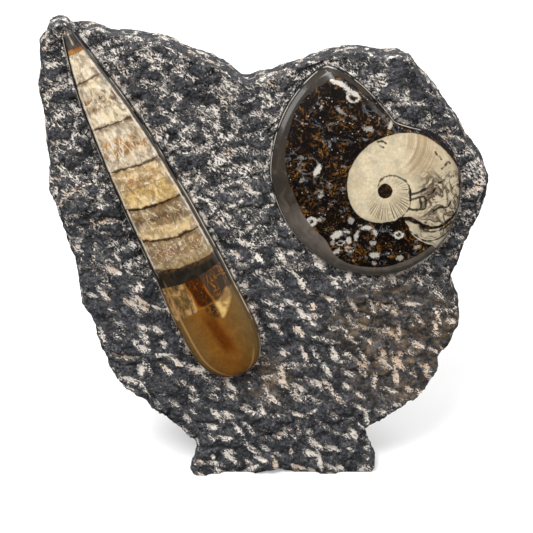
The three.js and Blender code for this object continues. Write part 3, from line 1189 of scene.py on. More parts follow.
@dataclass(frozen=True)
class Orthoceras:
    """The straight shell: a cone that opens along its axis from a blunt tip to a round end."""

    finish: OrthocerasCalcite
    tip: tuple[float, float] = (-59.4, 145.2)
    slant: float = math.radians(24.9)
    stations: Knots = (
        (0.4, 2.3, -0.3), (5, 3.3, -0.4), (10, 4.4, -0.5), (16, 5.6, -0.45), (22, 6.7, -0.3),
        (32, 8, 0.05), (42, 9.1, 0.3), (52, 9.8, 0.5), (62, 10.45, 0.75), (72, 10.8, 0.9),
        (82, 11.2, 0.95), (92, 11.6, 0.7), (102, 11.7, 0.8), (109, 11.4, 0.9), (113.2, 10.6, 1),
        (116.5, 9.1, 1.1), (119.2, 6.9, 1.2), (120.8, 4, 1.2), (121.4, 0, 1.2),
    )
    squareness: float = 0.62
    seat: float = 0.6
    crown: tuple[float, float] = (1.4, 0.36)
    buried: tuple[float, float] = (1.2, 0.34)
    ring_step: float = 0.45
    sides: int = 112
    patches: tuple[tuple[str, Knots], ...] = (
        ("streaks", ((85, -11), (85.2, -1.6), (90, -1.2), (94.8, -1.4), (95.6, -5), (95, -11))),
        ("ember", ((84.6, -2), (84.4, 4), (90, 3.8), (94.6, 4.4), (95.4, 1.6), (95, -1.4), (90, -1.7))),
        ("slate", ((84, 4.2), (84, 12), (90.6, 12), (93.4, 9.6), (95.4, 5.4), (90, 3.8))),
        ("gold", ((96, 3.6), (94, 7), (92.2, 9.6), (95, 9.6), (98.6, 7), (100.6, 4.4))),
        ("soot", ((95.4, 0.6), (95.2, 3.8), (98.4, 4.2), (100.2, 3.8), (98.6, 1.4))),
    )

    def side_line(self) -> np.ndarray:
        """The stations on a smooth line: along, half width and drift."""
        return smooth_line(self.stations, steps=12)

    def to_face(self, along: np.ndarray, across: np.ndarray) -> np.ndarray:
        """Places along and across the axis as u and v on the face.

        Args:
            along: Distances along the axis.
            across: Distances to the right of it.

        Returns:
            Pairs of u and v.
        """
        axis = np.array([math.sin(self.slant), -math.cos(self.slant)])
        side = np.array([math.cos(self.slant), math.sin(self.slant)])
        return np.array(self.tip) + along[:, None] * axis + across[:, None] * side

    def outline(self) -> np.ndarray:
        """The shell's outline on the face.

        Returns:
            The points of the outline in order.
        """
        along, half, drift = self.side_line().T
        right = self.to_face(along, drift + half)
        left = self.to_face(along, drift - half)
        return np.vstack([right, left[::-1]])

    def build(self) -> bpy.types.Mesh:
        """Spins the shell and presses it into its squarish section.

        Returns:
            The mesh in the part's frame, with its drawing and its patches kept for the finish.
        """
        line = self.side_line()
        length = line[-1, 0] - line[0, 0]
        along = np.linspace(line[0, 0], line[-1, 0], round(length / self.ring_step))
        half = np.interp(along, line[:, 0], line[:, 1])
        profile = np.vstack([[(0.0, along[0])], np.column_stack([half, along])])
        mesh = spun_shell("orthoceras_shell", profile, self.sides)
        places = read_vertices(mesh)
        along = places[:, 2]
        half = np.hypot(places[:, 0], places[:, 1])
        around = np.arctan2(places[:, 1], places[:, 0])
        drift = np.interp(along, line[:, 0], line[:, 2])
        across = half * self.squared(np.cos(around)) + drift
        lift = self.squared(np.sin(around))
        whole = np.interp(along, line[:, 0], line[:, 1])
        share = half / np.maximum(whole, 1e-6)
        up = (self.crown[0] + self.crown[1] * whole) * share
        down = (self.buried[0] + self.buried[1] * whole) * share
        height = self.seat + np.where(lift > 0, up, down) * lift
        write_vertices(mesh, FACE.to_part(np.column_stack([self.to_face(along, across), height])))
        turn_outwards(mesh)
        edge = whole - np.abs(across - drift)
        write_mark(mesh, Mark.PLAN.value, np.column_stack([along, across, edge]))
        for name, knots in self.patches:
            outline = smooth_line(knots, closed=True)
            write_mark(mesh, name, outline_depth(np.column_stack([along, across]), outline))
        return mesh

    def squared(self, values: np.ndarray) -> np.ndarray:
        """Pushes a sine or cosine outwards, which squares the round section."""
        return np.sign(values) * np.abs(values) ** self.squareness

    def dress(self) -> bpy.types.Object:
        """The finished shell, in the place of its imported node.

        Returns:
            The piece.
        """
        return place_piece(
            "polished_orthoceras", self.build(), "orthoceras", self.finish.material()
        )


@dataclass(frozen=True)
class Fragment:
    """A broken piece of shell in the infill: a turned oval, hollow if it has a bore."""

    u: float
    v: float
    long: float
    short: float
    turn: float = 0.0
    bore: float = 0.0
    tone: float = 0.5

    def depth(self, points: np.ndarray) -> np.ndarray:
        """How deep points lie inside the piece, in millimetres, below zero outside it.

        Args:
            points: Places on the face, u and v.

        Returns:
            One depth for each point.
        """
        angle = math.radians(self.turn)
        du, dv = points[:, 0] - self.u, points[:, 1] - self.v
        along = du * math.cos(angle) + dv * math.sin(angle)
        across = dv * math.cos(angle) - du * math.sin(angle)
        reach = np.hypot(along / self.long, across / self.short)
        return np.minimum(1 - reach, reach - self.bore if self.bore else 1.0) * self.short


@dataclass(frozen=True)
class Goniatite:
    """The coiled shell, cut and polished: a low dome with a sloping rim."""

    finish: GoniatiteCalcite
    middle: tuple[float, float] = (49, 91)
    knots: Knots = (
        (17.6, 134.4), (11.8, 129.4), (6.8, 122.2), (3.3, 113.5), (1.7, 104), (2.2, 97), (4.3, 90.2),
        (8, 83.1), (13.1, 77.3), (20.1, 71.7), (26.9, 69.1), (34.7, 67.8), (42.5, 69.1), (48.8, 72.3),
        (54.4, 76.8), (58.6, 83.3), (61, 91.4), (61.2, 99.6), (59.6, 106), (56.2, 111), (50.8, 114.4),
        (44.6, 116.2), (40.7, 117.6), (38.4, 120.2), (34.9, 124.4), (30.5, 128.8), (25.6, 132.4),
        (21.2, 134.4),
    )
    section: Knots = (
        (0, -6), (0.975, -6), (1, -5.2), (1, 0.7), (0.985, 1.7), (0.96, 2.7), (0.905, 4), (0.87, 4.5),
        (0.78, 5.1), (0.58, 5.7), (0.3, 6.2), (0, 6.4),
    )
    rings: int = 118
    sides: int = 460
    infill: Knots = (
        (18.2, 129.7), (15, 127.9), (12.3, 125.2), (9.5, 121.1), (8, 116.5), (6.8, 111.5), (6.4, 106.1),
        (7.5, 99.2), (9.1, 95.6), (10.9, 91), (13.2, 87), (15.9, 83.8), (19.1, 80.6), (21.4, 76.5),
        (24.5, 73.8), (29.1, 72.2), (35, 71.7), (40, 72.4), (44.5, 74.2), (48.2, 76), (51.4, 78.3),
        (55.5, 82), (59, 88), (60.2, 95), (60, 101), (59.1, 106.1), (57.3, 109.3), (54.5, 112),
        (51.4, 114.3), (48.2, 116.1), (43.6, 116.5), (40.5, 117), (39.1, 119.3), (36.4, 122.5),
        (33.6, 124.7), (30, 127), (27.3, 129.3), (23.6, 131.5), (20.5, 131.8),
    )
    whorl: Knots = (
        (25.7, 101.5), (25.5, 97), (26.8, 92), (30, 88.1), (35, 86.5), (40, 87), (42.3, 88.3), (45, 88.2),
        (48.6, 86.5), (50.9, 85.4), (53.2, 85.4), (55.5, 86), (59.1, 88.8), (60, 90.1), (60.5, 94.7),
        (60.2, 99.2), (59.8, 103.4), (56.8, 107.9), (54.5, 110.2), (51.8, 112.2), (49.1, 113.6),
        (46.4, 114.3), (43.2, 114.6), (40, 114.5), (37.3, 113.8), (34.5, 112.7), (31.8, 111.1),
        (28.4, 107.5), (26.4, 103.8),
    )
    chamber: Knots = (
        (43.6, 87.3), (45.5, 87.1), (47.7, 86.1), (49.5, 84.8), (52.3, 84.4), (55.2, 85.1), (57.7, 86.8),
        (59.4, 88), (59.1, 86), (58.2, 84.7), (56.4, 83.3), (54.5, 82), (52.3, 81.3), (50, 81.5),
        (48.2, 82.4), (46.4, 83.8), (44.8, 85.4),
    )
    layers: Knots = (
        (44.8, 85.4), (46.4, 83.8), (48.2, 82.4), (50, 81.5), (52.3, 81.3), (54.5, 82), (56.4, 83.3),
        (59.6, 87), (59.2, 84.4), (57, 80.8), (54, 78), (52.4, 79.2), (50.8, 79.6), (48.4, 80.8),
        (46, 82.8),
    )
    eye: Knots = (
        (37.3, 99.1), (35.7, 98.4), (34.9, 96.7), (35.6, 95), (37.2, 94.3), (38.9, 95), (39.6, 96.6),
        (38.9, 98.3),
    )
    ribbed: Knots = (
        (38.2, 100.4), (40, 100.8), (42.3, 100.1), (44.1, 98.8), (45, 97), (45.2, 93.8), (44.8, 91.5),
        (43.6, 89.7), (42.3, 88.3), (40, 87.4), (37, 87), (34, 88), (32, 90), (32.5, 93), (35, 96),
    )
    crescent: Knots = (
        (19.8, 131.2), (23.6, 130.6), (26, 128.6), (28.6, 126.4), (28.2, 125.6), (25.4, 126.8),
        (23.4, 128.8), (20.5, 129.8),
    )
    coil: Knots = (
        (35, 97.6), (35.5, 99.6), (36.8, 101.1), (38.6, 101.6), (40.5, 101.4), (42.4, 100.6), (44, 99.2),
        (45, 97), (45.2, 93.8), (44.8, 91.5), (43.6, 89.7), (42.3, 88.3), (40, 87), (37.7, 86.5),
        (35, 86.4),
    )
    sutures: tuple[Knots, ...] = (
        (
            (42.3, 88.3), (45, 88.2), (46.8, 87.6), (48.6, 86.5), (50.5, 85.5), (53.2, 85.2), (55.9, 86.5),
            (58.6, 88.5), (59.8, 90.1),
        ),
        (
            (43.6, 87.2), (46.4, 86.8), (48.2, 85.3), (50, 84.1), (52.3, 83.6), (55, 84.3), (57.7, 86),
            (59.6, 87.4),
        ),
        ((45.5, 83.8), (48.2, 81.7), (50.5, 80.6), (53.2, 80.8), (55.5, 82), (57.7, 83.8)),
        (
            (13.6, 92.4), (15, 90.1), (18.2, 87.4), (20.5, 85.8), (24.5, 84.2), (27.3, 84), (29.5, 85.1),
            (31.4, 86),
        ),
        ((34.6, 112), (36, 112.3), (37.2, 111.6)),
        ((35.4, 110.9), (36.6, 110.4)),
        ((54.6, 103.6), (55.6, 104.4), (56.4, 105.8), (57.2, 105.2)),
        ((53.8, 107.4), (54.4, 106.4)),
        ((52.6, 108.8), (53.2, 107.6)),
        ((50.6, 95.4), (52.2, 96.6), (53.4, 99), (55.6, 99.8)),
        ((52.4, 90.4), (54.6, 91.6), (56.6, 91.4), (57.8, 93.4)),
    )
    hooks: tuple[Knots, ...] = (
        ((44.8, 97.6), (45, 95.6), (45.2, 93.8)),
        ((45.5, 95.6), (47.5, 96.3), (49.5, 97.4)),
        ((45.5, 94), (47.7, 94.7), (49.5, 94.7), (49.8, 91.3), (46.8, 90.8), (44.8, 91)),
        ((48, 94.6), (48.4, 92.6), (48.2, 91)),
    )
    fragments: tuple[Fragment, ...] = (
        Fragment(27, 125.8, 2.4, 2.0, -20, 0.45, 0.9), Fragment(16.4, 103.2, 2.2, 1.1, 55, 0, 1.0),
        Fragment(13.4, 104.4, 3.6, 2.8, 20, 0.75, 0.1), Fragment(11, 107, 1.6, 0.6, 20, 0, 0.1),
        Fragment(23.4, 121.5, 2.4, 0.7, -32, 0, 0.3), Fragment(21, 117.6, 2, 0.6, 5, 0, 0.2),
        Fragment(31.8, 116, 2.2, 1.0, -20, 0, 0.4), Fragment(38.6, 117, 1.9, 0.8, 68, 0, 0.7),
        Fragment(20, 111.5, 1.9, 0.6, 90, 0, 0.2), Fragment(14.8, 86.7, 1.8, 1.7, 0, 0.25, 0.8),
        Fragment(17.2, 87.2, 1.6, 0.8, 15, 0, 0.4), Fragment(26.8, 87.2, 1.1, 1.4, 0, 0, 0.4),
        Fragment(22.6, 82.6, 2.5, 1.3, 35, 0, 0.75), Fragment(25.6, 83.8, 1.8, 0.8, -20, 0, 0.6),
        Fragment(23.8, 79.8, 1.7, 1.0, 10, 0.3, 0.55), Fragment(26.3, 80.8, 1.0, 1.5, 0, 0, 0.65),
        Fragment(21.2, 79.8, 0.8, 1.1, 0, 0, 0.4), Fragment(28.7, 82.2, 2.3, 0.9, 72, 0, 0.6),
        Fragment(31.6, 85, 2.6, 0.9, -6, 0, 0.75), Fragment(34.3, 83.4, 1.6, 0.8, -62, 0, 0.6),
        Fragment(33.9, 79.9, 1.3, 0.9, 20, 0, 0.5), Fragment(41.8, 82.6, 1.9, 1.4, 12, 0.3, 0.95),
        Fragment(22.5, 76.9, 1.5, 0.9, 40, 0, 0.55), Fragment(26.5, 77.7, 1.6, 1.2, -10, 0.35, 0.55),
        Fragment(34.4, 75.9, 1.8, 1.2, 5, 0, 0.65), Fragment(42.3, 75, 1.3, 1.1, 0, 0, 0.45),
        Fragment(34.2, 73.2, 1.0, 0.7, 0, 0, 0.5), Fragment(20.8, 92.8, 1.4, 0.7, 30, 0.3, 0.3),
        Fragment(18, 95.4, 1.0, 0.5, -40, 0, 0.5), Fragment(11.6, 99.8, 1.3, 0.7, 50, 0, 0.2),
        Fragment(36.6, 118.4, 1.8, 1.8, 0, 0.72, 0.1), Fragment(27.4, 119.4, 1.5, 0.5, -30, 0, 0.15),
        Fragment(16.8, 124.2, 1.4, 0.8, 45, 0.3, 0.1), Fragment(47.6, 78.6, 1.2, 0.7, 30, 0, 0.35),
    )
    eye_middle: tuple[float, float] = (37.3, 96.7)
    fan_middle: tuple[float, float] = (36.0, 113.0)
    crescent_tone: float = 0.85
    section_squash: float = 30.0
    chip_seed: int = 11
    chips: int = 70

    def outline(self) -> np.ndarray:
        """The shell's outline on the face."""
        return smooth_line(self.knots, closed=True, steps=10)

    def build(self) -> bpy.types.Mesh:
        """Spins the section and carries it round the outline.

        Returns:
            The mesh in the part's frame, with its drawing kept for the finish.
        """
        section = self.dense_section()
        mesh = spun_shell("goniatite_shell", section, self.sides)
        places = read_vertices(mesh)
        ring = self.outline()
        ring = np.vstack([ring, ring[:1]])
        travel = np.concatenate([[0], np.cumsum(np.linalg.norm(np.diff(ring, axis=0), axis=1))])
        turn = np.arctan2(places[:, 1], places[:, 0]) % math.tau / math.tau * travel[-1]
        rim = np.column_stack([np.interp(turn, travel, ring[:, i]) for i in (0, 1)])
        share = np.hypot(places[:, 0], places[:, 1])[:, None]
        spots = np.array(self.middle) + share * (rim - np.array(self.middle))
        write_vertices(mesh, FACE.to_part(np.column_stack([spots, places[:, 2]])))
        turn_outwards(mesh)
        write_mark(mesh, Mark.PLAN.value, np.column_stack([spots, places[:, 2]]))
        self.draw(mesh, spots)
        return mesh

    def dense_section(self) -> np.ndarray:
        """The section with many rings on its crown, where the drawing needs them.

        Returns:
            Pairs of a share of the outline and a height.
        """
        knots = np.array(self.section, float)
        spans = np.hypot(np.diff(knots[:, 0]), np.diff(knots[:, 1]) / self.section_squash)
        travel = np.concatenate([[0], np.cumsum(spans)])
        crown = np.linspace(travel[3], travel[-1], self.rings)
        steps = np.concatenate([travel[:3], crown])
        return np.column_stack([np.interp(steps, travel, knots[:, i]) for i in (0, 1)])

    def draw(self, mesh: bpy.types.Mesh, spots: np.ndarray) -> None:
        """Keeps the drawing on the mesh: outlines, lines, growth and broken pieces of shell.

        Args:
            mesh: The mesh.
            spots: Places on the face, u and v.
        """
        write_mark(mesh, "edge", outline_depth(spots, self.outline()))
        for name in ("infill", "whorl", "chamber", "layers", "eye"):
            outline = smooth_line(getattr(self, name), closed=True, steps=4)
            write_mark(mesh, name, outline_depth(spots, outline))
        for name, lines in (("coil", (self.coil,)), ("suture", self.sutures), ("hook", self.hooks)):
            nearest = [line_distance(spots, smooth_line(knots, steps=4)) for knots in lines]
            write_mark(mesh, name, np.min(nearest, axis=0))
        self.draw_growth(mesh, spots)
        self.draw_shells(mesh, spots)

    def draw_growth(self, mesh: bpy.types.Mesh, spots: np.ndarray) -> None:
        """Keeps the ribs of the inner whorl, the lines of growth and how marbled the shell is.

        Args:
            mesh: The mesh.
            spots: Places on the face, u and v.
        """
        away = spots - np.array(self.eye_middle)
        ribbed = outline_depth(spots, smooth_line(self.ribbed, closed=True, steps=4))
        outer = soft_step(np.linalg.norm(away, axis=1), 2.6, 6.5)
        write_mark(mesh, "turn", np.arctan2(away[:, 1], away[:, 0]))
        write_mark(mesh, "ribbed", soft_step(ribbed, 0.0, 0.8) * (0.25 + 0.75 * outer))
        write_mark(mesh, "growth", np.linalg.norm(spots - np.array(self.fan_middle), axis=1))
        growing = soft_step(spots[:, 0], 41.5, 46) * soft_step(spots[:, 0], 55, 49.5)
        write_mark(mesh, "growing", growing * soft_step(spots[:, 1], 99, 104))
        aged = soft_step(spots[:, 0], 45.5, 51) * soft_step(spots[:, 1], 106, 99)
        write_mark(mesh, "aged", aged)

    def draw_shells(self, mesh: bpy.types.Mesh, spots: np.ndarray) -> None:
        """Keeps how deep each vertex lies in a broken piece of shell, and how white the piece is.

        Args:
            mesh: The mesh.
            spots: Places on the face, u and v.
        """
        rng = random.Random(self.chip_seed)
        small = [
            Fragment(
                rng.uniform(8, 52), rng.uniform(73, 128), rng.uniform(0.5, 1.3), rng.uniform(0.3, 0.55),
                rng.uniform(0, 180), 0.0, rng.uniform(0.0, 0.5),
            )
            for _ in range(self.chips)
        ]
        depths = [outline_depth(spots, smooth_line(self.crescent, closed=True, steps=4))]
        tones = [self.crescent_tone]
        for piece in (*self.fragments, *small):
            depths.append(piece.depth(spots))
            tones.append(piece.tone)
        nearest = np.argmax(depths, axis=0)
        write_mark(mesh, "shells", np.max(depths, axis=0))
        write_mark(mesh, "shell_tone", np.array(tones)[nearest])

    def dress(self) -> bpy.types.Object:
        """The finished shell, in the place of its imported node.

        Returns:
            The piece.
        """
        return place_piece(
            "polished_goniatite", self.build(), "goniatite", self.finish.material()
        )


@dataclass(frozen=True)
class ChiselWork:
    """One way of working the face: the slant of its strokes in degrees and their sizes in millimetres."""

    slant: float
    spread: float
    length: tuple[float, float]
    width: tuple[float, float]
    depth: tuple[float, float]


@dataclass(frozen=True)
class ChiselledSlab:
    """The slab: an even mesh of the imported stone, worked all over with a chisel."""

    finish: Limestone
    fossils: tuple[np.ndarray, ...]
    cell: float = 1.06
    weld: float = 1e-6
    front_turn: float = 0.3
    smoothing: int = 2
    spacing: float = 4.3
    ledges: ChiselWork = ChiselWork(-6, 22, (4.0, 8.5), (1.6, 3.0), (1.0, 2.4))
    gouges: ChiselWork = ChiselWork(-38, 25, (2.4, 6.6), (1.1, 2.1), (0.7, 1.5))
    stroke_seed: int = 5
    lump: tuple[float, float, float] = (8.5, 5.6, 8.5)
    lump_height: float = 2.0
    cut_middle: float = 0.55
    side_ease: float = 0.4
    back_spread: float = 1.5
    calming: float = 0.85
    groove: float = 0.3
    lip_pull: float = 0.9
    squaring: float = 0.6
    calm_spots: Knots = ((28, 143, 9), (41, 141, 9), (50, 133, 7))
    stain_spots: Knots = ((44, 42, 15), (31, 52, 9), (54, 50, 10), (40, 60, 8), (2, 33, 7), (48, 28, 8))

    def even_block(self) -> bpy.types.Mesh:
        """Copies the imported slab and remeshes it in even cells.

        Returns:
            The new mesh, in the part's frame.
        """
        work = bmesh.new()
        work.from_mesh(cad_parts["slab"].data)
        bmesh.ops.remove_doubles(work, verts=work.verts, dist=self.weld)
        copy = bpy.data.meshes.new("slab_copy")
        work.to_mesh(copy)
        work.free()
        block = bpy.data.objects.new("slab_copy", copy)
        bpy.context.scene.collection.objects.link(block)
        cells = block.modifiers.new("even_cells", "REMESH")
        cells.mode = "VOXEL"
        cells.voxel_size = self.cell * MM
        shown = block.evaluated_get(bpy.context.evaluated_depsgraph_get())
        mesh = bpy.data.meshes.new_from_object(shown)
        bpy.data.objects.remove(block)
        return mesh

    def clear_of_fossils(self, spots: np.ndarray) -> np.ndarray:
        """How far spots on the face lie outside the nearest fossil, below zero under it."""
        return np.min([-outline_depth(spots, outline) for outline in self.fossils], axis=0)

    def refine(self, mesh: bpy.types.Mesh) -> None:
        """Gives the chiselled face finer cells, and rounds the cells' corners all over.

        Args:
            mesh: The even mesh.
        """
        work = bmesh.new()
        work.from_mesh(mesh)
        work.normal_update()
        work.faces.ensure_lookup_table()
        outwards = np.array([face.normal for face in work.faces]) @ FACE.axes[2]
        middles = FACE.to_face(np.array([face.calc_center_median() for face in work.faces]))
        chosen = (outwards > self.front_turn) & (self.clear_of_fossils(middles[:, :2]) > -0.4)
        edges = {edge for i in np.flatnonzero(chosen) for edge in work.faces[i].edges}
        ordered = sorted(edges, key=lambda edge: edge.index)
        bmesh.ops.subdivide_edges(work, edges=ordered, cuts=1, use_grid_fill=True)
        for _ in range(self.smoothing):
            bmesh.ops.smooth_vert(
                work, verts=work.verts, factor=0.5, use_axis_x=True, use_axis_y=True, use_axis_z=True
            )
        work.to_mesh(mesh)
        work.free()

    def chisel(self, spots: np.ndarray, seed: int, spacing: float) -> tuple[np.ndarray, np.ndarray]:
        """Strikes seeded strokes over the face: ledges towards the top and gouges towards the foot.

        Args:
            spots: Places on the face, u and v.
            seed: The seed of the strokes.
            spacing: How far apart the strokes are.

        Returns:
            How deep each spot is cut, in millimetres, and how bruised it is, from 0 to 1.
        """
        rng = random.Random(seed)
        cut = np.zeros(len(spots))
        bruise = np.zeros(len(spots))
        low, high = spots.min(axis=0), spots.max(axis=0)
        for row in np.arange(low[1], high[1], spacing):
            for column in np.arange(low[0], high[0], spacing * 1.25):
                u = column + rng.uniform(-0.5, 0.5) * spacing
                v = row + rng.uniform(-0.5, 0.5) * spacing
                upper = rng.random() < soft_step(np.array(v + 0.15 * abs(u)), 55, 105)
                work = self.ledges if upper else self.gouges
                angle = math.radians(rng.gauss(work.slant, work.spread))
                length, width = rng.uniform(*work.length), rng.uniform(*work.width)
                depth, pale = rng.uniform(*work.depth), rng.uniform(0.0, 1.0)
                du, dv = spots[:, 0] - u, spots[:, 1] - v
                near = np.flatnonzero((np.abs(du) < length) & (np.abs(dv) < length))
                along = (du[near] * math.cos(angle) + dv[near] * math.sin(angle)) / (length / 2)
                across = (dv[near] * math.cos(angle) - du[near] * math.sin(angle)) / width
                across = np.where(across > 0, across * 1.7, across * 0.8)
                scoop = np.clip(1 - along**2, 0, 1) ** 0.5 * np.clip(1 - across**2, 0, 1)
                cut[near] = np.maximum(cut[near], depth * scoop)
                wall = np.clip(1.15 - np.hypot(0.95 * along, (across - 0.1) / 0.55) / 1.4, 0, 1)
                strength = (0.3 + pale) * (0.45 if upper else 1.0)
                bruise[near] = np.maximum(bruise[near], strength * wall)
        return cut, bruise

    def build(self) -> bpy.types.Mesh:
        """Works the stone: strokes on its face and back, breaks on its sides, a groove round the fossils.

        Returns:
            The mesh in the part's frame, with its bruises, its stains and the depth of its hollows, for
            their painted shade, kept for the finish.
        """
        mesh = self.even_block()
        self.refine(mesh)
        places = read_vertices(mesh)
        outwards = read_vertices(mesh, "normal")
        spots = FACE.to_face(places)
        facing = outwards @ FACE.axes[2]
        clear = self.clear_of_fossils(spots[:, :2])
        open_face = soft_step(facing, 0.2, 0.6) * soft_step(clear, -0.6, 0.0)
        back = soft_step(-facing, 0.2, 0.6)
        side = np.clip(1 - soft_step(facing, 0.2, 0.6) - back, 0, 1) * (clear > 0.9)
        standing = soft_step(places[:, 2] / MM, 0.3, 2.5)
        upper = soft_step(spots[:, 1] + 0.15 * np.abs(spots[:, 0]), 50, 105)
        dome, crease = self.lumps(spots)
        front_cut, front_bruise = self.chisel(spots[:, :2], self.stroke_seed, self.spacing)
        wider = self.spacing * self.back_spread
        back_cut, back_bruise = self.chisel(spots[:, :2], self.stroke_seed + 1, wider)
        rough = grain(spots, 4.5, 3) * 0.45 + grain(spots, 1.5, 3, 31.7) * 0.3
        lumpy = self.lump_height * (dome * (0.4 + 0.6 * upper) + 0.35 * crease)
        cut = open_face * np.maximum(front_cut, lumpy) + back * (back_cut + lumpy) + side * dome * 1.8
        ease = 1 - self.side_ease * (1 - np.abs(facing))
        worked = open_face + back + side
        lift = (rough * worked - ease * (cut - self.cut_middle)) * standing * worked
        places = places + outwards * (lift * MM)[:, None]
        places[:, 2] = np.maximum(places[:, 2], 0.0)
        spots = FACE.to_face(places)
        shoulder = soft_step(facing, 0.05, 0.5) * soft_step(clear, 1.0, 4.0) * (spots[:, 2] < 0)
        spots[:, 2] *= 1 - self.squaring * shoulder * standing
        self.draw_lip_in(spots, clear)
        write_vertices(mesh, FACE.to_part(spots))
        write_mark(mesh, Mark.PLAN.value, spots)
        patchy = soft_step(grain(spots, 4.0, 2, 7.3), -0.3, 0.25)
        ring = 1.2 * np.exp(-(((clear - 1.0) / 0.45) ** 2)) * (0.3 + 0.7 * patchy)
        ledge = 0.62 * upper * crease * soft_step(patchy, 0.2, 0.9)
        worn = soft_step(grain(spots, 3.0, 3, 12.9), -0.05, 0.45)
        calm = 1 - self.calming * self.near_spots(spots, self.calm_spots)
        front_bruise = front_bruise * (1 + 0.3 * soft_step(spots[:, 1], 16, 8))
        bruise = calm * open_face * np.maximum(front_bruise, ledge) + back * back_bruise
        bruise = np.maximum(bruise, open_face * ring)
        broken = (1 - open_face - back * 0.7) * 0.75 * worn
        write_mark(mesh, Mark.BRUISE.value, np.maximum(bruise, broken))
        # the cut depth, kept for the painted shade that darkens the chisel hollows
        write_mark(mesh, Mark.PAINTED_HOLLOW_SHADE.value, np.clip(cut / 1.7, 0, 1) * (clear > -0.5))
        write_mark(mesh, Mark.STAIN.value, self.near_spots(spots, self.stain_spots))
        return mesh

    def lumps(self, spots: np.ndarray) -> tuple[np.ndarray, np.ndarray]:
        """Divides the stone into lumps.

        Args:
            spots: Places in the stone, u, v and w.

        Returns:
            How far each place falls away from the middle of its lump, and how near a crease it is.
        """
        pairs = np.array([noise.voronoi(p)[0][:2] for p in (spots / np.array(self.lump)).tolist()])
        return pairs[:, 0] ** 2, 1 - soft_step(pairs[:, 1] - pairs[:, 0], 0.0, 0.32)

    def draw_lip_in(self, spots: np.ndarray, clear: np.ndarray) -> None:
        """Closes the stone in on the fossils, and lowers it to a shallow groove round them.

        Args:
            spots: Places on the face, u, v and w, changed in place.
            clear: How far each lies outside the nearest fossil.
        """
        reach = 0.2
        pull = self.lip_pull * soft_step(clear, 2.4, 0.7) * (clear > -1.0)
        slopes = []
        for step in ((reach, 0.0), (0.0, reach)):
            slopes.append((self.clear_of_fossils(spots[:, :2] + step) - clear) / reach)
        spots[:, :2] -= np.column_stack(slopes) * pull[:, None]
        lip = np.where(clear > -0.8, -self.groove + 0.6 * np.maximum(clear - 0.3, 0.0), np.inf)
        spots[:, 2] = np.minimum(spots[:, 2], lip)

    @staticmethod
    def near_spots(places: np.ndarray, spots: Knots) -> np.ndarray:
        """How near each place on the face is to some round spots, each a middle and a size, from 0 to 1.

        Args:
            places: Places on the face.
            spots: The round spots: u, v and size.

        Returns:
            One value for each place.
        """
        shares = [
            np.exp(-(((places[:, 0] - u) / size) ** 2) - ((places[:, 1] - v) / size) ** 2)
            for u, v, size in spots
        ]
        return np.max(shares, axis=0)

    def dress(self) -> bpy.types.Object:
        """The finished slab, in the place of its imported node."""
        return place_piece("chiselled_slab", self.build(), "slab", self.finish.material())


# Studio


@dataclass(frozen=True)
class SoftBox:
    """A square soft light: where it stands, its side and its power."""

    name: str
    place: tuple[float, float, float]
    side: float
    power: float

    def build(self, target: tuple[float, float, float]) -> None:
        """Hangs the light and turns it to what it lights.

        Args:
            target: What the light points at.
        """
        lamp = bpy.data.lights.new(self.name, "AREA")
        lamp.size = self.side
        lamp.energy = self.power
        box = bpy.data.objects.new(self.name, lamp)
        box.location = self.place
        towards = Vector(target) - box.location
        box.rotation_euler = towards.to_track_quat("-Z", "Y").to_euler()
        bpy.context.scene.collection.objects.link(box)


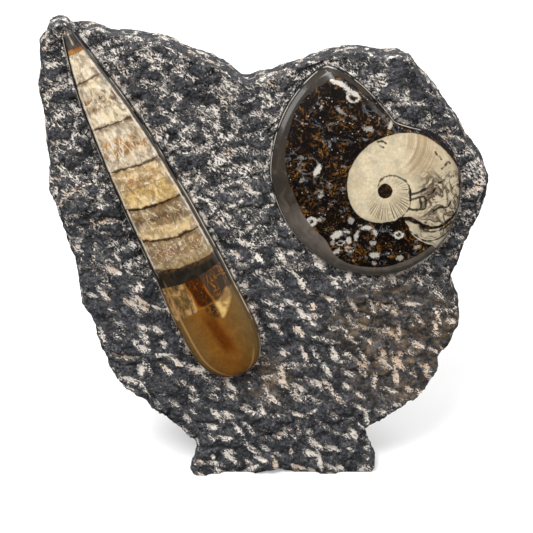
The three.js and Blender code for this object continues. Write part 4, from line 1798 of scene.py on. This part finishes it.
@dataclass(frozen=True)
class Studio:
    """A white floor, soft light from the upper left, and the camera in front and above."""

    floor_reach: float = 4.0
    floor_colour: str = "#dedede"
    floor_glow: float = 0.28
    sky_colour: str = "#ffffff"
    sky_strength: float = 0.55
    ground_strength: float = 0.1
    target: tuple[float, float, float] = (0.0, 0.0, 0.07)
    lights: tuple[SoftBox, ...] = (
        SoftBox("key", (-0.35, -0.6, 1.25), 0.6, 16.0),
        SoftBox("left", (-1.0, -0.35, 0.6), 0.5, 5.0),
        SoftBox("fill", (0.9, -0.7, 0.8), 0.8, 4.5),
        SoftBox("back", (0.3, 1.0, 0.9), 0.8, 12.0),
    )
    camera_place: tuple[float, float, float] = (0.000504, -0.473841, 0.337378)
    camera_tilt: float = math.radians(60)
    lens: float = 114.8
    sensor: float = 36.0

    def build(self) -> None:
        """Lays the floor and sets the light and the camera."""
        work = bmesh.new()
        bmesh.ops.create_grid(work, x_segments=2, y_segments=2, size=self.floor_reach)
        mesh = bpy.data.meshes.new("floor")
        work.to_mesh(mesh)
        work.free()
        bench = Bench("floor")
        bench.shader.inputs["Emission Color"].default_value = paint(self.sky_colour)
        bench.shader.inputs["Emission Strength"].default_value = self.floor_glow
        mesh.materials.append(bench.finish(paint(self.floor_colour), 0.9, 0.0))
        floor = bpy.data.objects.new("floor", mesh)
        floor.visible_diffuse = False
        floor.visible_glossy = False
        bpy.context.scene.collection.objects.link(floor)
        self.set_sky()
        bpy.context.scene.view_settings.view_transform = "Standard"
        for light in self.lights:
            light.build(self.target)
        self.set_camera()

    def set_sky(self) -> None:
        """Surrounds the studio with white, bright overhead and dim below the horizon."""
        world = bpy.data.worlds.new("studio")
        world.use_nodes = True
        nodes, links = world.node_tree.nodes, world.node_tree.links
        sky = nodes["Background"]
        sky.inputs["Color"].default_value = paint(self.sky_colour)
        direction = nodes.new("ShaderNodeTexCoord")
        parts = nodes.new("ShaderNodeSeparateXYZ")
        height = nodes.new("ShaderNodeMapRange")
        height.inputs["From Min"].default_value = -0.1
        height.inputs["From Max"].default_value = 0.5
        height.inputs["To Min"].default_value = self.ground_strength
        height.inputs["To Max"].default_value = self.sky_strength
        links.new(direction.outputs["Generated"], parts.inputs[0])
        links.new(parts.outputs["Z"], height.inputs["Value"])
        links.new(height.outputs["Result"], sky.inputs["Strength"])
        bpy.context.scene.world = world

    def set_camera(self) -> None:
        """Sets the camera level across, in front of the face and above it."""
        lens = bpy.data.cameras.new("camera")
        lens.lens = self.lens
        lens.sensor_width = self.sensor
        camera = bpy.data.objects.new("camera", lens)
        camera.location = self.camera_place
        camera.rotation_euler = (self.camera_tilt, 0.0, 0.0)
        bpy.context.scene.collection.objects.link(camera)
        bpy.context.scene.camera = camera


def main() -> None:
    """Builds the studio and the three pieces."""
    logging.basicConfig(level=logging.INFO, format="%(name)s: %(message)s")
    Studio().build()
    orthoceras = Orthoceras(OrthocerasCalcite())
    goniatite = Goniatite(GoniatiteCalcite())
    slab = ChiselledSlab(Limestone(), (orthoceras.outline(), goniatite.outline()))
    for part in (slab, orthoceras, goniatite):
        piece = part.dress()
        piece.data.calc_loop_triangles()
        log.info("%s: %d triangles", piece.name, len(piece.data.loop_triangles))


if __name__ == "__main__":
    main()
